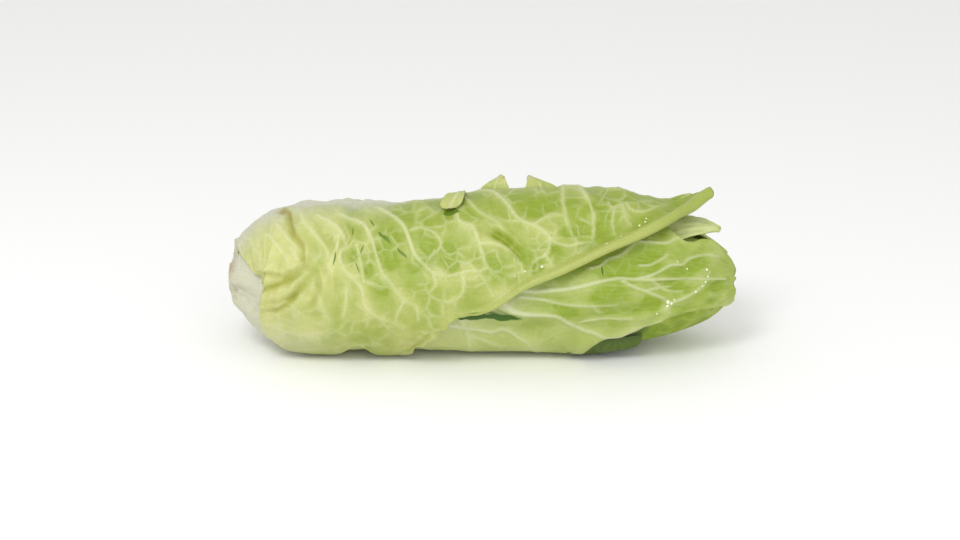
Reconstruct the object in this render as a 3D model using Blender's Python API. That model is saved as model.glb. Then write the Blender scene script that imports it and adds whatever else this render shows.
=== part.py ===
# A sugarloaf radicchio head lying on its side: a tight heart, the cut stem and the leaves that wrap them.
# The head runs along +X from the cut stem to the leaf tips, and it rests on the floor at z = 0.
# A place on the head is given by s, the distance along the heart's outline from the stem,
# and by an angle round the head: 0 faces -Y, 90 is the top, 180 the back and -90 the floor.

import math

import bpy
import numpy as np

MM = 0.001

# Driving dimensions, in millimetres and degrees
BLADE_THICKNESS = 1.2
LEAF_GAP = 1.2
RIB_THICKNESS = 2.8
RIB_WIDTH = 11.0
VEIN_RIDGE = 0.8
RUFFLE = 1.6
RUFFLE_TURN = 1.4
BACK_RUFFLE_LAG = 2.0
RUFFLE_FADES_OVER = 30
RIB_GROWS_OVER = 40
CLOSER_AT_RIB = 1.1
STEM_RADIUS = 8.5
STEM_FROM = 1.5
STEM_TO = 4.6
FLOOR_DEPTH = 41.8
INNER_LIFT = 0.75
PRESSED_SPREAD = 4
FLOOR_SQUARENESS = 0.7

# The heart's outline: distance along the head and radius, from the stem to the tip
HEART_OUTLINE = [
    (5, 8.5), (8, 10), (14, 14.5), (22, 21.5), (34, 29), (60, 32.5), (110, 31), (165, 30.5),
    (205, 31), (236, 28.5), (256, 24.5), (271, 20), (281, 14.5), (286.5, 8), (288.5, 0),
]
OUTLINE_SAMPLES = 600
POLE_GAP = 2.5
TIP_RADIUS = 14.0
LEVEL_AT_TIP = 70

# The map of how high the leaves already stand over the heart, on which the next leaf is laid
MAP_ROWS, MAP_COLUMNS = 120, 132
DRAPE_REACH = 4
MAP_REFINE = 6

# Each row is one pair of side veins of the wrapper leaf: where it leaves the midrib (s, angle),
# where it meets the front margin (s, angle) and the back margin (s, angle), and how far the
# front margin, the midrib and the back margin stand off the leaves below.
WRAPPER_VEINS = [
    (2, 128, 4, 78, 2, 166, 0, 0, 0),
    (11, 128, 14, 49, 12, 169, 0, 0, 0),
    (20, 128, 25, 28, 26, 173, 1, 0, 0),
    (29, 127, 31, 22, 42, 178, 1, 0, 0),
    (37, 126, 31, 4, 58, 183, 1, 0, 0),
    (45, 126, 29, -14, 74, 188, 1, 0, 1),
    (54, 125, 31, -37, 90, 193, 0, 0, 1),
    (64, 125, 43, -55, 104, 197, 0, 0, 0),
    (73, 124, 63, -60, 116, 199, 0, 0, 1),
    (81, 123, 80, -38, 127, 201, 0, 0, 2),
    (91, 123, 97, -63, 139, 202, 1, 0, 3),
    (105, 122, 121, -30, 154, 203, 1, 0, 1),
    (121, 120, 137, -3, 170, 202, 1, 0, 0),
    (138, 118, 154, 1, 186, 199, 0, 2, 2),
    (158, 116, 175, 13, 202, 194, 0, 4, 4),
    (181, 113, 197, 24, 218, 187, 0, 5, 2),
    (204, 110, 218, 37, 232, 178, 0, 5, 1),
    (224, 107, 239, 51, 244, 166, 0, 6, 2),
    (242, 104, 254, 65, 254, 151, 1, 4, 3),
    (256, 101, 265, 79, 263, 128, 3, 4, 4),
    (270, 98, 273, 92, 273, 106, 10, 11, 11),
]
# The roll of its front margin, given by the side veins between which it runs
ROLL_FROM, ROLL_TO = 11.5, 20.2
ROLL_STARTS_OVER, ROLL_ENDS_OVER = 3.0, 1.5
ROLL_RADIUS_FROM, ROLL_RADIUS_TO = 2.0, 3.8
ROLL_TURN = 235.0
UNROLLED_MARGIN = 1.6
WRAPPER_FRONT_CELLS, WRAPPER_BACK_CELLS, ROLL_CELLS = 14, 8, 5
ROLL_RISE = 5

# Flaps torn loose along the top of the wrapper leaf: s, angle, length along the head,
# height, how far the tip leans along the head and, in degrees, round it, and the share of the
# length that is left at the tip
FLAPS = [
    (134, 90, 18, 6, -3, -17, 0.6),
    (162, 103, 15, 7, 2, 3, 0.3),
    (187, 99, 24, 7, -8, -6, 0.15),
]
# The same for the scrap that hangs from the leaf under the head, just behind the front leaf
UNDER_FLAP = (221, -68, 14, 6, 2, -3, 0.5)
FLAP_ROOT = 0.8
FLAP_ROUNDING = 0.8
FLAP_TAPER = 1.6
FLAP_ROWS, FLAP_COLUMNS = 6, 5

# The front leaf, in the same way: midrib, upper margin, lower margin, and the three heights
FRONT_VEINS = [
    (2, -22, 4, 60, 3, -64, 0, 0, 0),
    (14, -22, 18, 64, 16, -78, 0, 0, 0),
    (30, -21, 38, 68, 36, -92, 0, 0, 0),
    (52, -19, 62, 72, 64, -104, 0, 0, 0),
    (76, -17, 88, 77, 94, -112, 0, 0, 0),
    (100, -14, 114, 84, 124, -116, 0, 0, 0),
    (124, -8, 138, 89, 153, -117, 0, 0, 0),
    (148, 0, 162, 92, 181, -108, 0, 0, 0),
    (172, 7, 186, 92, 206, -74, 0, 0, 0.5),
    (196, 12, 209, 88, 219, -39, 0, 0, 2),
    (218, 14, 230, 82, 233, -36, 0, 0, 1),
    (237, 15, 246, 75, 248, -26, 0, 0, 1),
    (253, 16, 257, 66, 264, -20, 0, 0, 1),
    (268, 17, 267, 57, 276, -20, 0, 0, 1),
    (280, 20, 276, 63, 284, -25, 0, 0, 0),
    (289, 24, 285, 66, 290, -35, 0, 1, 0),
    (297, 27, 294, 68, 295, -40, 0, 1, 0),
]
FRONT_UPPER_CELLS, FRONT_LOWER_CELLS = 8, 10

# The leaves between the heart and those two, inner ones first: the angle of the midrib at the stem
# and at the tip, half of the width at the widest, the length, how far the tip stands off, and the
# share of the width that is left at the tip
INNER_LEAVES = {
    "leaf_back_low": (-140, -150, 86, 296, 0.5, 0.8),
    "leaf_under": (-92, -74, 84, 297, 0.5, 0.9),
    "leaf_back": (168, 164, 82, 292, 0.5, 0.7),
    "leaf_crown": (64, 97, 86, 284, 6.0, 0.12),
}
# How the half width of such a leaf runs from the stem to where it starts to narrow to its tip
WIDTH_ALONG = [0.50, 0.68, 0.85, 0.94, 1.0, 1.0, 1.0, 1.0, 1.0, 1.0, 1.0]
NARROWS_FROM = 0.6
VEIN_SLANT = 24.0
MARGIN_WANDER = 3.0
WANDER_STEP = 2.4
FREE_TIP_FROM = 0.86
INNER_LEAF_CELLS = 7
INNER_RIB_SHARE = 0.8

# The leaves of the heart itself: the angle of each midrib, and how high its blade stands
HEART_LEAVES = [(20, 1.2), (157, 2.0), (-66, 2.8), (71, 3.6)]
HEART_HALF_WIDTH = 76
HEART_LEAF_FROM = 150.0
HEART_SINK = 1.0
HEART_LEAF_ROWS, HEART_LEAF_CELLS = 7, 4
HEART_LEAF_SWERVE = 14
HEART_TIP_ROUNDING = 12
HEART_LEAST_WIDTH = 0.62
HEART_RINGS, HEART_SIDES = 26, 32
HEART_END = 4
STEM_SIDES = 28
STEM_WORN_EDGE = 0.8

GREEN = (0.50, 0.62, 0.22, 1.0)
PALE_GREEN = (0.62, 0.69, 0.34, 1.0)
YELLOW_GREEN = (0.66, 0.72, 0.30, 1.0)
CUT_BROWN = (0.62, 0.45, 0.34, 1.0)


def close_at_ends(count, share=0.7):
    """Numbers from 0 to 1 that lie closer together towards both ends, where the head curves most."""
    even = np.linspace(0, 1, count)
    return (1 - share) * even + share * (0.5 - 0.5 * np.cos(math.pi * even))


def smooth_rows(rows, shares):
    """Rows of numbers, taken as points on a smooth curve and read at these shares of their order."""
    points = np.asarray(rows, float)
    padded = np.vstack([2 * points[0] - points[1], points, 2 * points[-1] - points[-2]])
    along = np.asarray(shares) * (len(points) - 1)
    index = np.minimum(along.astype(int), len(points) - 2)
    part = (along - index)[:, None]
    a, b, c, d = (padded[index + k] for k in range(4))
    curved = (2 * a - 5 * b + 4 * c - d) * part**2 + (3 * b - a - 3 * c + d) * part**3
    return 0.5 * (2 * b + (c - a) * part + curved)


def outline_table():
    """The heart's outline as evenly readable columns: s, x, radius and the outward direction."""
    points = smooth_rows(HEART_OUTLINE, np.linspace(0, 1, OUTLINE_SAMPLES))
    steps = np.hypot(*np.diff(points, axis=0).T)
    s = np.concatenate([[0], np.cumsum(steps)])
    tangent = np.gradient(points, s, axis=0)
    tangent /= np.linalg.norm(tangent, axis=1)[:, None]
    return s, points[:, 0], points[:, 1], -tangent[:, 1], tangent[:, 0]


OUTLINE = outline_table()
OUTLINE_LENGTH = OUTLINE[0][-1]


def roundness(angle):
    """How far the head's section reaches at this angle: round above, squarer where it has settled."""
    low = np.clip(-np.sin(angle), 0, 1)
    power = 2 + FLOOR_SQUARENESS * low * low * (3 - 2 * low)
    return (np.abs(np.cos(angle)) ** power + np.abs(np.sin(angle)) ** power) ** (-1 / power)


def place(s, angle, height):
    """The point at height over the heart's surface, in millimetres from the head's own axis."""
    x, radius, out_x, out_r = (np.interp(s, OUTLINE[0], column) for column in OUTLINE[1:])
    reach = radius * roundness(angle) + height * out_r
    return np.stack([x + height * out_x, -np.cos(angle) * reach, np.sin(angle) * reach], axis=-1)


class HeightMap:
    """How high the leaves laid so far stand over the heart, on a grid of s and angle."""

    def __init__(self):
        self.height = np.zeros((MAP_ROWS, MAP_COLUMNS))

    def cells(self, s, angle):
        row = s / OUTLINE_LENGTH * (MAP_ROWS - 1)
        column = (angle / (2 * math.pi) * MAP_COLUMNS) % MAP_COLUMNS
        return row, column

    def read(self, grid, s, angle):
        row, column = self.cells(s, angle)
        row = np.clip(row, 0, MAP_ROWS - 1.001)
        low_row, low_column = row.astype(int), column.astype(int) % MAP_COLUMNS
        next_column = (low_column + 1) % MAP_COLUMNS
        part_row, part_column = row - low_row, column - np.floor(column)
        low = grid[low_row, low_column] * (1 - part_column) + grid[low_row, next_column] * part_column
        high_row = low_row + 1
        high = grid[high_row, low_column] * (1 - part_column) + grid[high_row, next_column] * part_column
        return low * (1 - part_row) + high * part_row

    def shifted(self, grid, rows, columns):
        kept = np.clip(np.arange(MAP_ROWS) + rows, 0, MAP_ROWS - 1)
        return np.roll(grid[kept], -columns, axis=1)

    def draped(self):
        """A smooth surface that nowhere dips below the leaves already laid."""
        reach = range(-DRAPE_REACH, DRAPE_REACH + 1)
        cover = self.height
        cover = np.max([self.shifted(cover, k, 0) for k in reach], axis=0)
        cover = np.max([self.shifted(cover, 0, k) for k in reach], axis=0)
        half = range(-DRAPE_REACH // 2, DRAPE_REACH // 2 + 1)
        for _ in range(2):
            cover = np.mean([self.shifted(cover, k, 0) for k in half], axis=0)
            cover = np.mean([self.shifted(cover, 0, k) for k in half], axis=0)
        s = np.linspace(0, OUTLINE_LENGTH, MAP_ROWS)
        narrow = 1 - np.interp(s, OUTLINE[0], OUTLINE[2]) / TIP_RADIUS
        share = np.where(s > OUTLINE_LENGTH / 2, np.clip(narrow, 0, 1), 0)[:, None]
        level = np.percentile(cover, LEVEL_AT_TIP, axis=1, keepdims=True)
        return cover + share * np.maximum(level - cover, 0)

    def lay(self, s, angle, height):
        """Takes in a leaf's outer face, given on its own grid."""
        s, angle, height = (refined(grid) for grid in (s, angle, height))
        row, column = self.cells(s, angle)
        inside = (row > -0.5) & (row < MAP_ROWS - 0.5)
        row = np.clip(np.rint(row[inside]).astype(int), 0, MAP_ROWS - 1)
        column = np.rint(column[inside]).astype(int) % MAP_COLUMNS
        np.maximum.at(self.height, (row, column), height[inside])


def refined(grid):
    """A grid of values with more rows and columns between its own, by straight lines."""
    for axis in (0, 1):
        count = grid.shape[axis]
        fine = np.linspace(0, count - 1, (count - 1) * MAP_REFINE + 1)
        index = np.minimum(fine.astype(int), count - 2)
        shape = [1, 1]
        shape[axis] = len(fine)
        part = (fine - index).reshape(shape)
        grid = np.take(grid, index, axis) * (1 - part) + np.take(grid, index + 1, axis) * part
    return grid


def formula_veins(angle_at_stem, angle_at_tip, half_width, length, tip_height, tip_share):
    """Side vein rows for a plain leaf, from a few of its sizes."""
    rows = []
    for index, along in enumerate(close_at_ends(len(WIDTH_ALONG))):
        share = np.interp(along, np.linspace(0, 1, len(WIDTH_ALONG)), WIDTH_ALONG)
        share *= 1 - (1 - tip_share) * max(0.0, (along - NARROWS_FROM) / (1 - NARROWS_FROM)) ** 1.5
        s = 2 + (length - 2) * along
        angle = angle_at_stem + (angle_at_tip - angle_at_stem) * along
        margin = min(s + VEIN_SLANT * math.sin(math.pi * along), length)
        wander = MARGIN_WANDER * math.sin(WANDER_STEP * index + angle_at_stem)
        lift = tip_height * max(0.0, along - FREE_TIP_FROM) / (1 - FREE_TIP_FROM)
        upper = angle + half_width * share + wander
        lower = angle - half_width * share + wander
        rows.append((s, angle, margin, upper, margin, lower, lift, lift, lift))
    return rows


def leaf_grid(veins, front_cells, back_cells, rib_at_stem):
    """The leaf's grid, margin to margin: s, angle, height over the leaves below, and thickness.

    The rows run along the side veins and half-way between them. Towards the floor the veins
    and the wavy margins are pressed flat.
    """
    rows = 2 * len(veins) - 1
    shares = np.linspace(0, 1, rows)
    across = np.concatenate([
        np.linspace(1, 0, front_cells + 1) ** CLOSER_AT_RIB,
        -(np.linspace(0, 1, back_cells + 1)[1:] ** CLOSER_AT_RIB),
    ])
    share = np.abs(across)[None, :]
    front = (across >= 0)[None, :]
    mid_s, mid_angle, front_s, front_angle, back_s, back_angle, front_off, mid_off, back_off = (
        column[:, None] for column in smooth_rows(veins, shares).T
    )
    s = mid_s + share * (np.where(front, front_s, back_s) - mid_s)
    s = np.clip(s, 0, OUTLINE_LENGTH - POLE_GAP)
    angle = np.radians(mid_angle + share * (np.where(front, front_angle, back_angle) - mid_angle))
    off = np.maximum(mid_off + share**2 * (np.where(front, front_off, back_off) - mid_off), 0)
    row = np.arange(rows)[:, None]
    wave = 0.5 + 0.5 * np.sin(RUFFLE_TURN * row + np.where(front, 0.0, BACK_RUFFLE_LAG))
    free = 1 - np.clip(-np.sin(angle), 0, 1) ** PRESSED_SPREAD
    off = off + RUFFLE * wave * share**4 * free * np.clip((OUTLINE_LENGTH - s) / RUFFLE_FADES_OVER, 0, 1)
    along = shares[:, None]
    radius = np.interp(s, OUTLINE[0], OUTLINE[2])
    from_rib = radius * np.abs(angle - np.radians(mid_angle))
    rib = RIB_THICKNESS * rib_at_stem * np.exp(-((from_rib / (RIB_WIDTH * (1.5 - along))) ** 2))
    ridge = VEIN_RIDGE * (row % 2 == 0) * (1 - share**3) * free
    rib *= (1 - along) ** 1.3 * np.clip(s / RIB_GROWS_OVER, 0, 1)
    return s, angle, off, BLADE_THICKNESS + rib + ridge


def closed_sheet(name, outer, inner, material):
    """One closed mesh from two grids of points, with the same triangles on both faces.

    What would lie under the floor is lifted to it, the inner face a little less than the outer one.
    """
    lift = np.maximum(-FLOOR_DEPTH - outer[..., 2], 0)
    outer[..., 2] += lift
    inner[..., 2] = np.maximum(inner[..., 2] + INNER_LIFT * lift, -FLOOR_DEPTH)
    rows, columns = outer.shape[:2]
    count = rows * columns
    corner = np.arange(count).reshape(rows, columns)
    a, b, c, d = corner[:-1, :-1], corner[:-1, 1:], corner[1:, 1:], corner[1:, :-1]
    face = np.concatenate([np.stack(t, -1).reshape(-1, 3) for t in ((a, b, c), (a, c, d))])
    edge = np.concatenate([corner[0, :-1], corner[:-1, -1], corner[-1, :0:-1], corner[:0:-1, 0]])
    following = np.roll(edge, -1)
    rim = np.concatenate([
        np.stack([following, edge, edge + count], -1),
        np.stack([following, edge + count, following + count], -1),
    ])
    faces = np.concatenate([face, face[:, ::-1] + count, rim])
    points = np.concatenate([outer.reshape(-1, 3), inner.reshape(-1, 3)])
    return mesh_object(name, points, faces, material)


def mesh_object(name, points, faces, material):
    """A mesh object from points in millimetres, with its faces turned outwards."""
    corners = points[faces]
    volume = np.einsum("ij,ij->i", corners[:, 0], np.cross(corners[:, 1], corners[:, 2])).sum()
    if volume < 0:
        faces = faces[:, ::-1]
    mesh = bpy.data.meshes.new(name)
    mesh.from_pydata((points * MM).tolist(), [], faces.tolist())
    mesh.shade_smooth()
    mesh.materials.append(material)
    made = bpy.data.objects.new(name, mesh)
    bpy.context.scene.collection.objects.link(made)
    return made


def plain_material(name, colour, roughness):
    material = bpy.data.materials.new(name)
    material.use_nodes = True
    shader = material.node_tree.nodes["Principled BSDF"]
    shader.inputs["Base Color"].default_value = colour
    shader.inputs["Roughness"].default_value = roughness
    shader.inputs["Metallic"].default_value = 0.0
    return material


def laid_leaf(name, heights, grid, material):
    """A leaf laid on what is there already, whose outer face then joins the height map."""
    s, angle, off, thickness = grid
    under = heights.read(heights.draped(), s, angle) + LEAF_GAP + off
    heights.lay(s, angle, under + thickness)
    return closed_sheet(name, place(s, angle, under + thickness), place(s, angle, under), material)


def rolled_wrapper(heights, material):
    """The outermost leaf, whose front margin is rolled under along its right half."""
    s, angle, off, thickness = leaf_grid(WRAPPER_VEINS, WRAPPER_FRONT_CELLS, WRAPPER_BACK_CELLS, 1.0)
    rows = len(s)
    vein = np.linspace(0, len(WRAPPER_VEINS) - 1, rows)[:, None]
    rolled = np.clip((vein - ROLL_FROM) / ROLL_STARTS_OVER, 0, 1) * np.clip((ROLL_TO - vein) / ROLL_ENDS_OVER, 0, 1)
    part = np.clip((vein - ROLL_FROM) / (ROLL_TO - ROLL_FROM), 0, 1)
    roll_radius = rolled * (ROLL_RADIUS_FROM + (ROLL_RADIUS_TO - ROLL_RADIUS_FROM) * part)
    across = np.linspace(1, 0, WRAPPER_FRONT_CELLS + 1) ** CLOSER_AT_RIB
    off[:, : WRAPPER_FRONT_CELLS + 1] += 2 * roll_radius * across**ROLL_RISE
    under = heights.read(heights.draped(), s, angle) + LEAF_GAP + off
    over = under + thickness
    heights.lay(s, angle, over)

    # The way out across the front margin, in millimetres along s and in radians round the head
    radius = np.interp(s[:, :1], OUTLINE[0], OUTLINE[2]) + over[:, :1]
    out_s = s[:, :1] - s[:, 1:2]
    out_round = (angle[:, :1] - angle[:, 1:2]) * radius
    span = np.hypot(out_s, out_round)
    out_s, out_round = out_s / span, out_round / span / radius

    turned = np.linspace(1, 0, ROLL_CELLS + 1)[None, :-1]
    turns = np.radians(ROLL_TURN) * rolled * turned
    flat_step = UNROLLED_MARGIN * (1 - rolled) * turned

    def roll(turn_radius):
        aside = turn_radius * np.sin(turns) + flat_step
        drop = roll_radius - turn_radius * np.cos(turns)
        return s[:, :1] + aside * out_s, angle[:, :1] + aside * out_round, drop

    outer_s, outer_angle, outer_drop = roll(roll_radius)
    inner_s, inner_angle, inner_drop = roll(np.maximum(roll_radius - BLADE_THICKNESS, 0))
    inner_drop = np.maximum(inner_drop, BLADE_THICKNESS * (1 - rolled))
    outer = place(
        np.hstack([outer_s, s]), np.hstack([outer_angle, angle]), np.hstack([over[:, :1] - outer_drop, over])
    )
    inner = place(
        np.hstack([inner_s, s]), np.hstack([inner_angle, angle]), np.hstack([over[:, :1] - inner_drop, under])
    )
    leaf = closed_sheet("leaf_wrapper", outer, inner, material)
    join(leaf, [torn_flap(heights, *sizes, material) for sizes in FLAPS])
    return leaf


def torn_flap(heights, s, angle, length, height, lean_along, lean_over, tip_share, material):
    """A flap torn loose at one side, which stands up from the wrapper leaf and narrows to its tip."""
    up = np.linspace(0, 1, FLAP_ROWS)[:, None]
    across = np.linspace(-0.5, 0.5, FLAP_COLUMNS)[None, :]
    flap_s = s + across * length * (1 - (1 - tip_share) * up**FLAP_TAPER) + lean_along * up**2
    flap_angle = math.radians(angle) + math.radians(lean_over) * up**2 + 0 * across
    root = heights.read(heights.height, s + across * length, math.radians(angle) + 0 * across)
    level = root - FLAP_ROOT + (height + FLAP_ROOT) * up * (1 - FLAP_ROUNDING * across**2)
    middle = place(flap_s, flap_angle, level)
    across_way = np.gradient(middle, axis=0), np.gradient(middle, axis=1)
    normal = np.cross(*across_way)
    normal *= BLADE_THICKNESS / 2 / np.linalg.norm(normal, axis=2, keepdims=True)
    return closed_sheet("torn_flap", middle + normal, middle - normal, material)


def join(body, pieces):
    """Unites the pieces with the body, which becomes one solid, and removes them."""
    group = bpy.data.collections.new("joined")
    bpy.context.scene.collection.children.link(group)
    for piece in pieces:
        bpy.context.scene.collection.objects.unlink(piece)
        group.objects.link(piece)
    union = body.modifiers.new("union", "BOOLEAN")
    union.operation = "UNION"
    union.operand_type = "COLLECTION"
    union.collection = group
    union.solver = "MANIFOLD"
    graph = bpy.context.evaluated_depsgraph_get()
    finished = bpy.data.meshes.new_from_object(body.evaluated_get(graph))
    body.modifiers.clear()
    body.data = finished
    for piece in pieces:
        bpy.data.objects.remove(piece)
    bpy.data.collections.remove(group)


def heart_core():
    """The tight middle of the head, closed at the stem and at the tip."""
    rings, sides = HEART_RINGS, HEART_SIDES
    s = close_at_ends(rings)[:, None] * (OUTLINE_LENGTH - HEART_END)
    angle = np.linspace(0, 2 * math.pi, sides, endpoint=False)[None, :]
    points = place(s, angle, np.zeros((rings, sides))).reshape(-1, 3)
    ends = place(s[[0, -1], 0], np.zeros(2), np.zeros(2)) * [1, 0, 0]
    points = np.vstack([points, ends])
    corner = np.arange(rings * sides).reshape(rings, sides)
    right = np.roll(corner, -1, axis=1)
    a, b, c, d = corner[:-1], right[:-1], right[1:], corner[1:]
    faces = [np.stack(t, -1).reshape(-1, 3) for t in ((a, b, c), (a, c, d))]
    first, last = rings * sides, rings * sides + 1
    faces.append(np.stack([right[0], corner[0], np.full(sides, first)], -1))
    faces.append(np.stack([corner[-1], right[-1], np.full(sides, last)], -1))
    return points, np.concatenate(faces)


def heart(heights, material):
    """The heart: its core with the tips of its own leaves standing out of it, joined in one solid."""
    body = mesh_object("heart", *heart_core(), material)
    blades = []
    for middle, level in HEART_LEAVES:
        rows = []
        for along in close_at_ends(HEART_LEAF_ROWS, 0.4):
            s = HEART_LEAF_FROM + (OUTLINE_LENGTH - POLE_GAP - HEART_LEAF_FROM) * along
            bulge = math.sin(math.pi * along)
            half = HEART_HALF_WIDTH * (HEART_LEAST_WIDTH + (1 - HEART_LEAST_WIDTH) * bulge)
            angle = middle + HEART_LEAF_SWERVE * along
            margin = s + HEART_TIP_ROUNDING * bulge
            rows.append((s, angle, margin, angle + half, margin, angle - half, 0, 0, 0))
        s, angle, _, _ = leaf_grid(rows, HEART_LEAF_CELLS, HEART_LEAF_CELLS, 0.0)
        under = np.full(s.shape, -HEART_SINK)
        over = np.full(s.shape, level)
        heights.lay(s, angle, over)
        blades.append(closed_sheet("blade", place(s, angle, over), place(s, angle, under), material))
    join(body, blades)
    return body


def cut_stem(material):
    """The short stub of stem between the leaf bases, with a slightly domed cut face."""
    bpy.ops.mesh.primitive_cylinder_add(
        vertices=STEM_SIDES, radius=STEM_RADIUS * MM, depth=(STEM_TO - STEM_FROM) * MM,
        location=((STEM_FROM + STEM_TO) / 2 * MM, 0, 0), rotation=(0, math.pi / 2, 0),
    )
    stem = bpy.context.object
    stem.name = stem.data.name = "cut_stem"
    stem.data.materials.append(material)
    bevel = stem.modifiers.new("worn_edge", "BEVEL")
    bevel.width = STEM_WORN_EDGE * MM
    bevel.segments = 2
    stem.data.shade_smooth()
    return stem


def settle(objects):
    """Puts the floor at z = 0 and the origin under the middle of the head's box."""
    bpy.context.view_layer.update()
    corners = [made.matrix_world @ v.co for made in objects for v in made.data.vertices]
    middle = [(min(c[k] for c in corners) + max(c[k] for c in corners)) / 2 for k in (0, 1)]
    for made in objects:
        made.location.x -= middle[0]
        made.location.y -= middle[1]
        made.location.z += FLOOR_DEPTH * MM


def main():
    for old in list(bpy.data.objects):
        bpy.data.objects.remove(old)
    pale = plain_material("pale_leaf", PALE_GREEN, 0.5)
    yellow = plain_material("heart_leaf", YELLOW_GREEN, 0.5)
    green = plain_material("green_leaf", GREEN, 0.45)
    heights = HeightMap()
    made = [cut_stem(plain_material("cut_face", CUT_BROWN, 0.8)), heart(heights, yellow)]
    for name, sizes in INNER_LEAVES.items():
        grid = leaf_grid(formula_veins(*sizes), INNER_LEAF_CELLS, INNER_LEAF_CELLS, INNER_RIB_SHARE)
        made.append(laid_leaf(name, heights, grid, pale))
        if name == "leaf_under":
            join(made[-1], [torn_flap(heights, *UNDER_FLAP, pale)])
    grid = leaf_grid(FRONT_VEINS, FRONT_UPPER_CELLS, FRONT_LOWER_CELLS, 1.0)
    made.append(laid_leaf("leaf_front", heights, grid, green))
    made.append(rolled_wrapper(heights, green))
    settle(made)


main()
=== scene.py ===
import math

import bpy
import numpy as np
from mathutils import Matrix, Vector


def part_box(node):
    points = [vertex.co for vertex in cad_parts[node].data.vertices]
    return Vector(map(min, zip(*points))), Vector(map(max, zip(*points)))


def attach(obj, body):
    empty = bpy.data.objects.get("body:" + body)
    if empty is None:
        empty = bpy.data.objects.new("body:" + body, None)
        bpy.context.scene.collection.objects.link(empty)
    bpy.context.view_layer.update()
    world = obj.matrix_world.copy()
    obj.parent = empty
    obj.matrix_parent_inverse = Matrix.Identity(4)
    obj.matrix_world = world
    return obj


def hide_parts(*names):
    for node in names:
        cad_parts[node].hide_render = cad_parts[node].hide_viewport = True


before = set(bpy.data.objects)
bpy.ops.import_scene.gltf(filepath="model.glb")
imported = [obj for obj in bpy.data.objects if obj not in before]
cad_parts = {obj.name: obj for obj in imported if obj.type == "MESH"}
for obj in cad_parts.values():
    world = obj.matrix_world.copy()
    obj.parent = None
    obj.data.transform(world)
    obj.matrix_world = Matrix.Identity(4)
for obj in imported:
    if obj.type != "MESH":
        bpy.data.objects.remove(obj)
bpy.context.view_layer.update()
scene = bpy.context.scene
mm = 0.001
print("frame loaded:", ", ".join(sorted(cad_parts)))

# A place on the head is (s, angle): s runs along the heart's outline from the stem, in mm, and the angle
# runs round it, 0 at the front, 90 on top, 180 at the back and -90 at the floor. It is in degrees in the
# dictionaries and in radians in the grids.

head = {
    "outline": [(5, 8.5), (8, 10), (14, 14.5), (22, 21.5), (34, 29), (60, 32.5), (110, 31), (165, 30.5),
                (205, 31), (236, 28.5), (256, 24.5), (271, 20), (281, 14.5), (286.5, 8), (288.5, 0)],
    "blade": 1.2,
    "gap": 1.2,
    "ribThickness": 2.8,
    "ribWidth": 11.0,
    "veinRidge": 0.8,      # of the solids' own side veins, which lift the leaves above them
    "ruffle": 1.6,         # height of the waves along a margin
    "ruffleTurn": 2.8,     # and how fast they follow one another, for each side vein
    "stemFrom": 1.5,
    "floorDepth": 41.8,
    "innerLift": 0.75,
    "floorSquareness": 0.7,
    "poleGap": 2.5,
    "margin": 0.45,        # thickness of a blade at its own margin
    "placeRadius": 44.0,   # turns an angle into a distance round the head, for the patterns
}

stemLow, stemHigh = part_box("cut_stem")
headOrigin = np.array([
    stemLow.x - head["stemFrom"] * mm, (stemLow.y + stemHigh.y) / 2, (stemLow.z + stemHigh.z) / 2,
])


def smoothRows(rows, shares):
    # points on a smooth curve through the rows, read at these shares of their order
    points = np.asarray(rows, float)
    padded = np.vstack([2 * points[0] - points[1], points, 2 * points[-1] - points[-2]])
    along = np.asarray(shares) * (len(points) - 1)
    index = np.minimum(along.astype(int), len(points) - 2)
    part = (along - index)[:, None]
    a, b, c, d = (padded[index + k] for k in range(4))
    curved = (2 * a - 5 * b + 4 * c - d) * part**2 + (3 * b - a - 3 * c + d) * part**3
    return 0.5 * (2 * b + (c - a) * part + curved)


def smoothStep(low, high, value):
    part = np.clip((value - low) / (high - low), 0, 1)
    return part * part * (3 - 2 * part)


def bell(value, middle, width):
    # 1 at the middle, fading to 0 on both sides
    return np.exp(-(((value - middle) / width) ** 2))


def softNoise(x, y, seed):
    # smooth random heights from -1 to 1, about one rise or dip to each unit square
    table = np.random.default_rng(seed).uniform(-1, 1, (64, 64))
    column, row = np.floor(x).astype(int), np.floor(y).astype(int)
    partX, partY = smoothStep(0, 1, x - column), smoothStep(0, 1, y - row)
    low = table[row % 64, column % 64] * (1 - partX) + table[row % 64, (column + 1) % 64] * partX
    high = table[(row + 1) % 64, column % 64] * (1 - partX) + table[(row + 1) % 64, (column + 1) % 64] * partX
    return low * (1 - partY) + high * partY


def outlineTable():
    points = smoothRows(head["outline"], np.linspace(0, 1, 600))
    steps = np.hypot(*np.diff(points, axis=0).T)
    s = np.concatenate([[0], np.cumsum(steps)])
    tangent = np.gradient(points, s, axis=0)
    tangent /= np.linalg.norm(tangent, axis=1)[:, None]
    return s, points[:, 0], points[:, 1], -tangent[:, 1], tangent[:, 0]


outline = outlineTable()
outlineLength = outline[0][-1]


def roundness(angle):
    low = np.clip(-np.sin(angle), 0, 1)
    power = 2 + head["floorSquareness"] * low * low * (3 - 2 * low)
    return (np.abs(np.cos(angle)) ** power + np.abs(np.sin(angle)) ** power) ** (-1 / power)


def place(s, angle, height):
    # the point at this height over the heart, in mm from the head's own axis
    x, radius, outX, outR = (np.interp(s, outline[0], column) for column in outline[1:])
    reach = radius * roundness(angle) + height * outR
    return np.stack([x + height * outX, -np.cos(angle) * reach, np.sin(angle) * reach], axis=-1)


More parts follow.
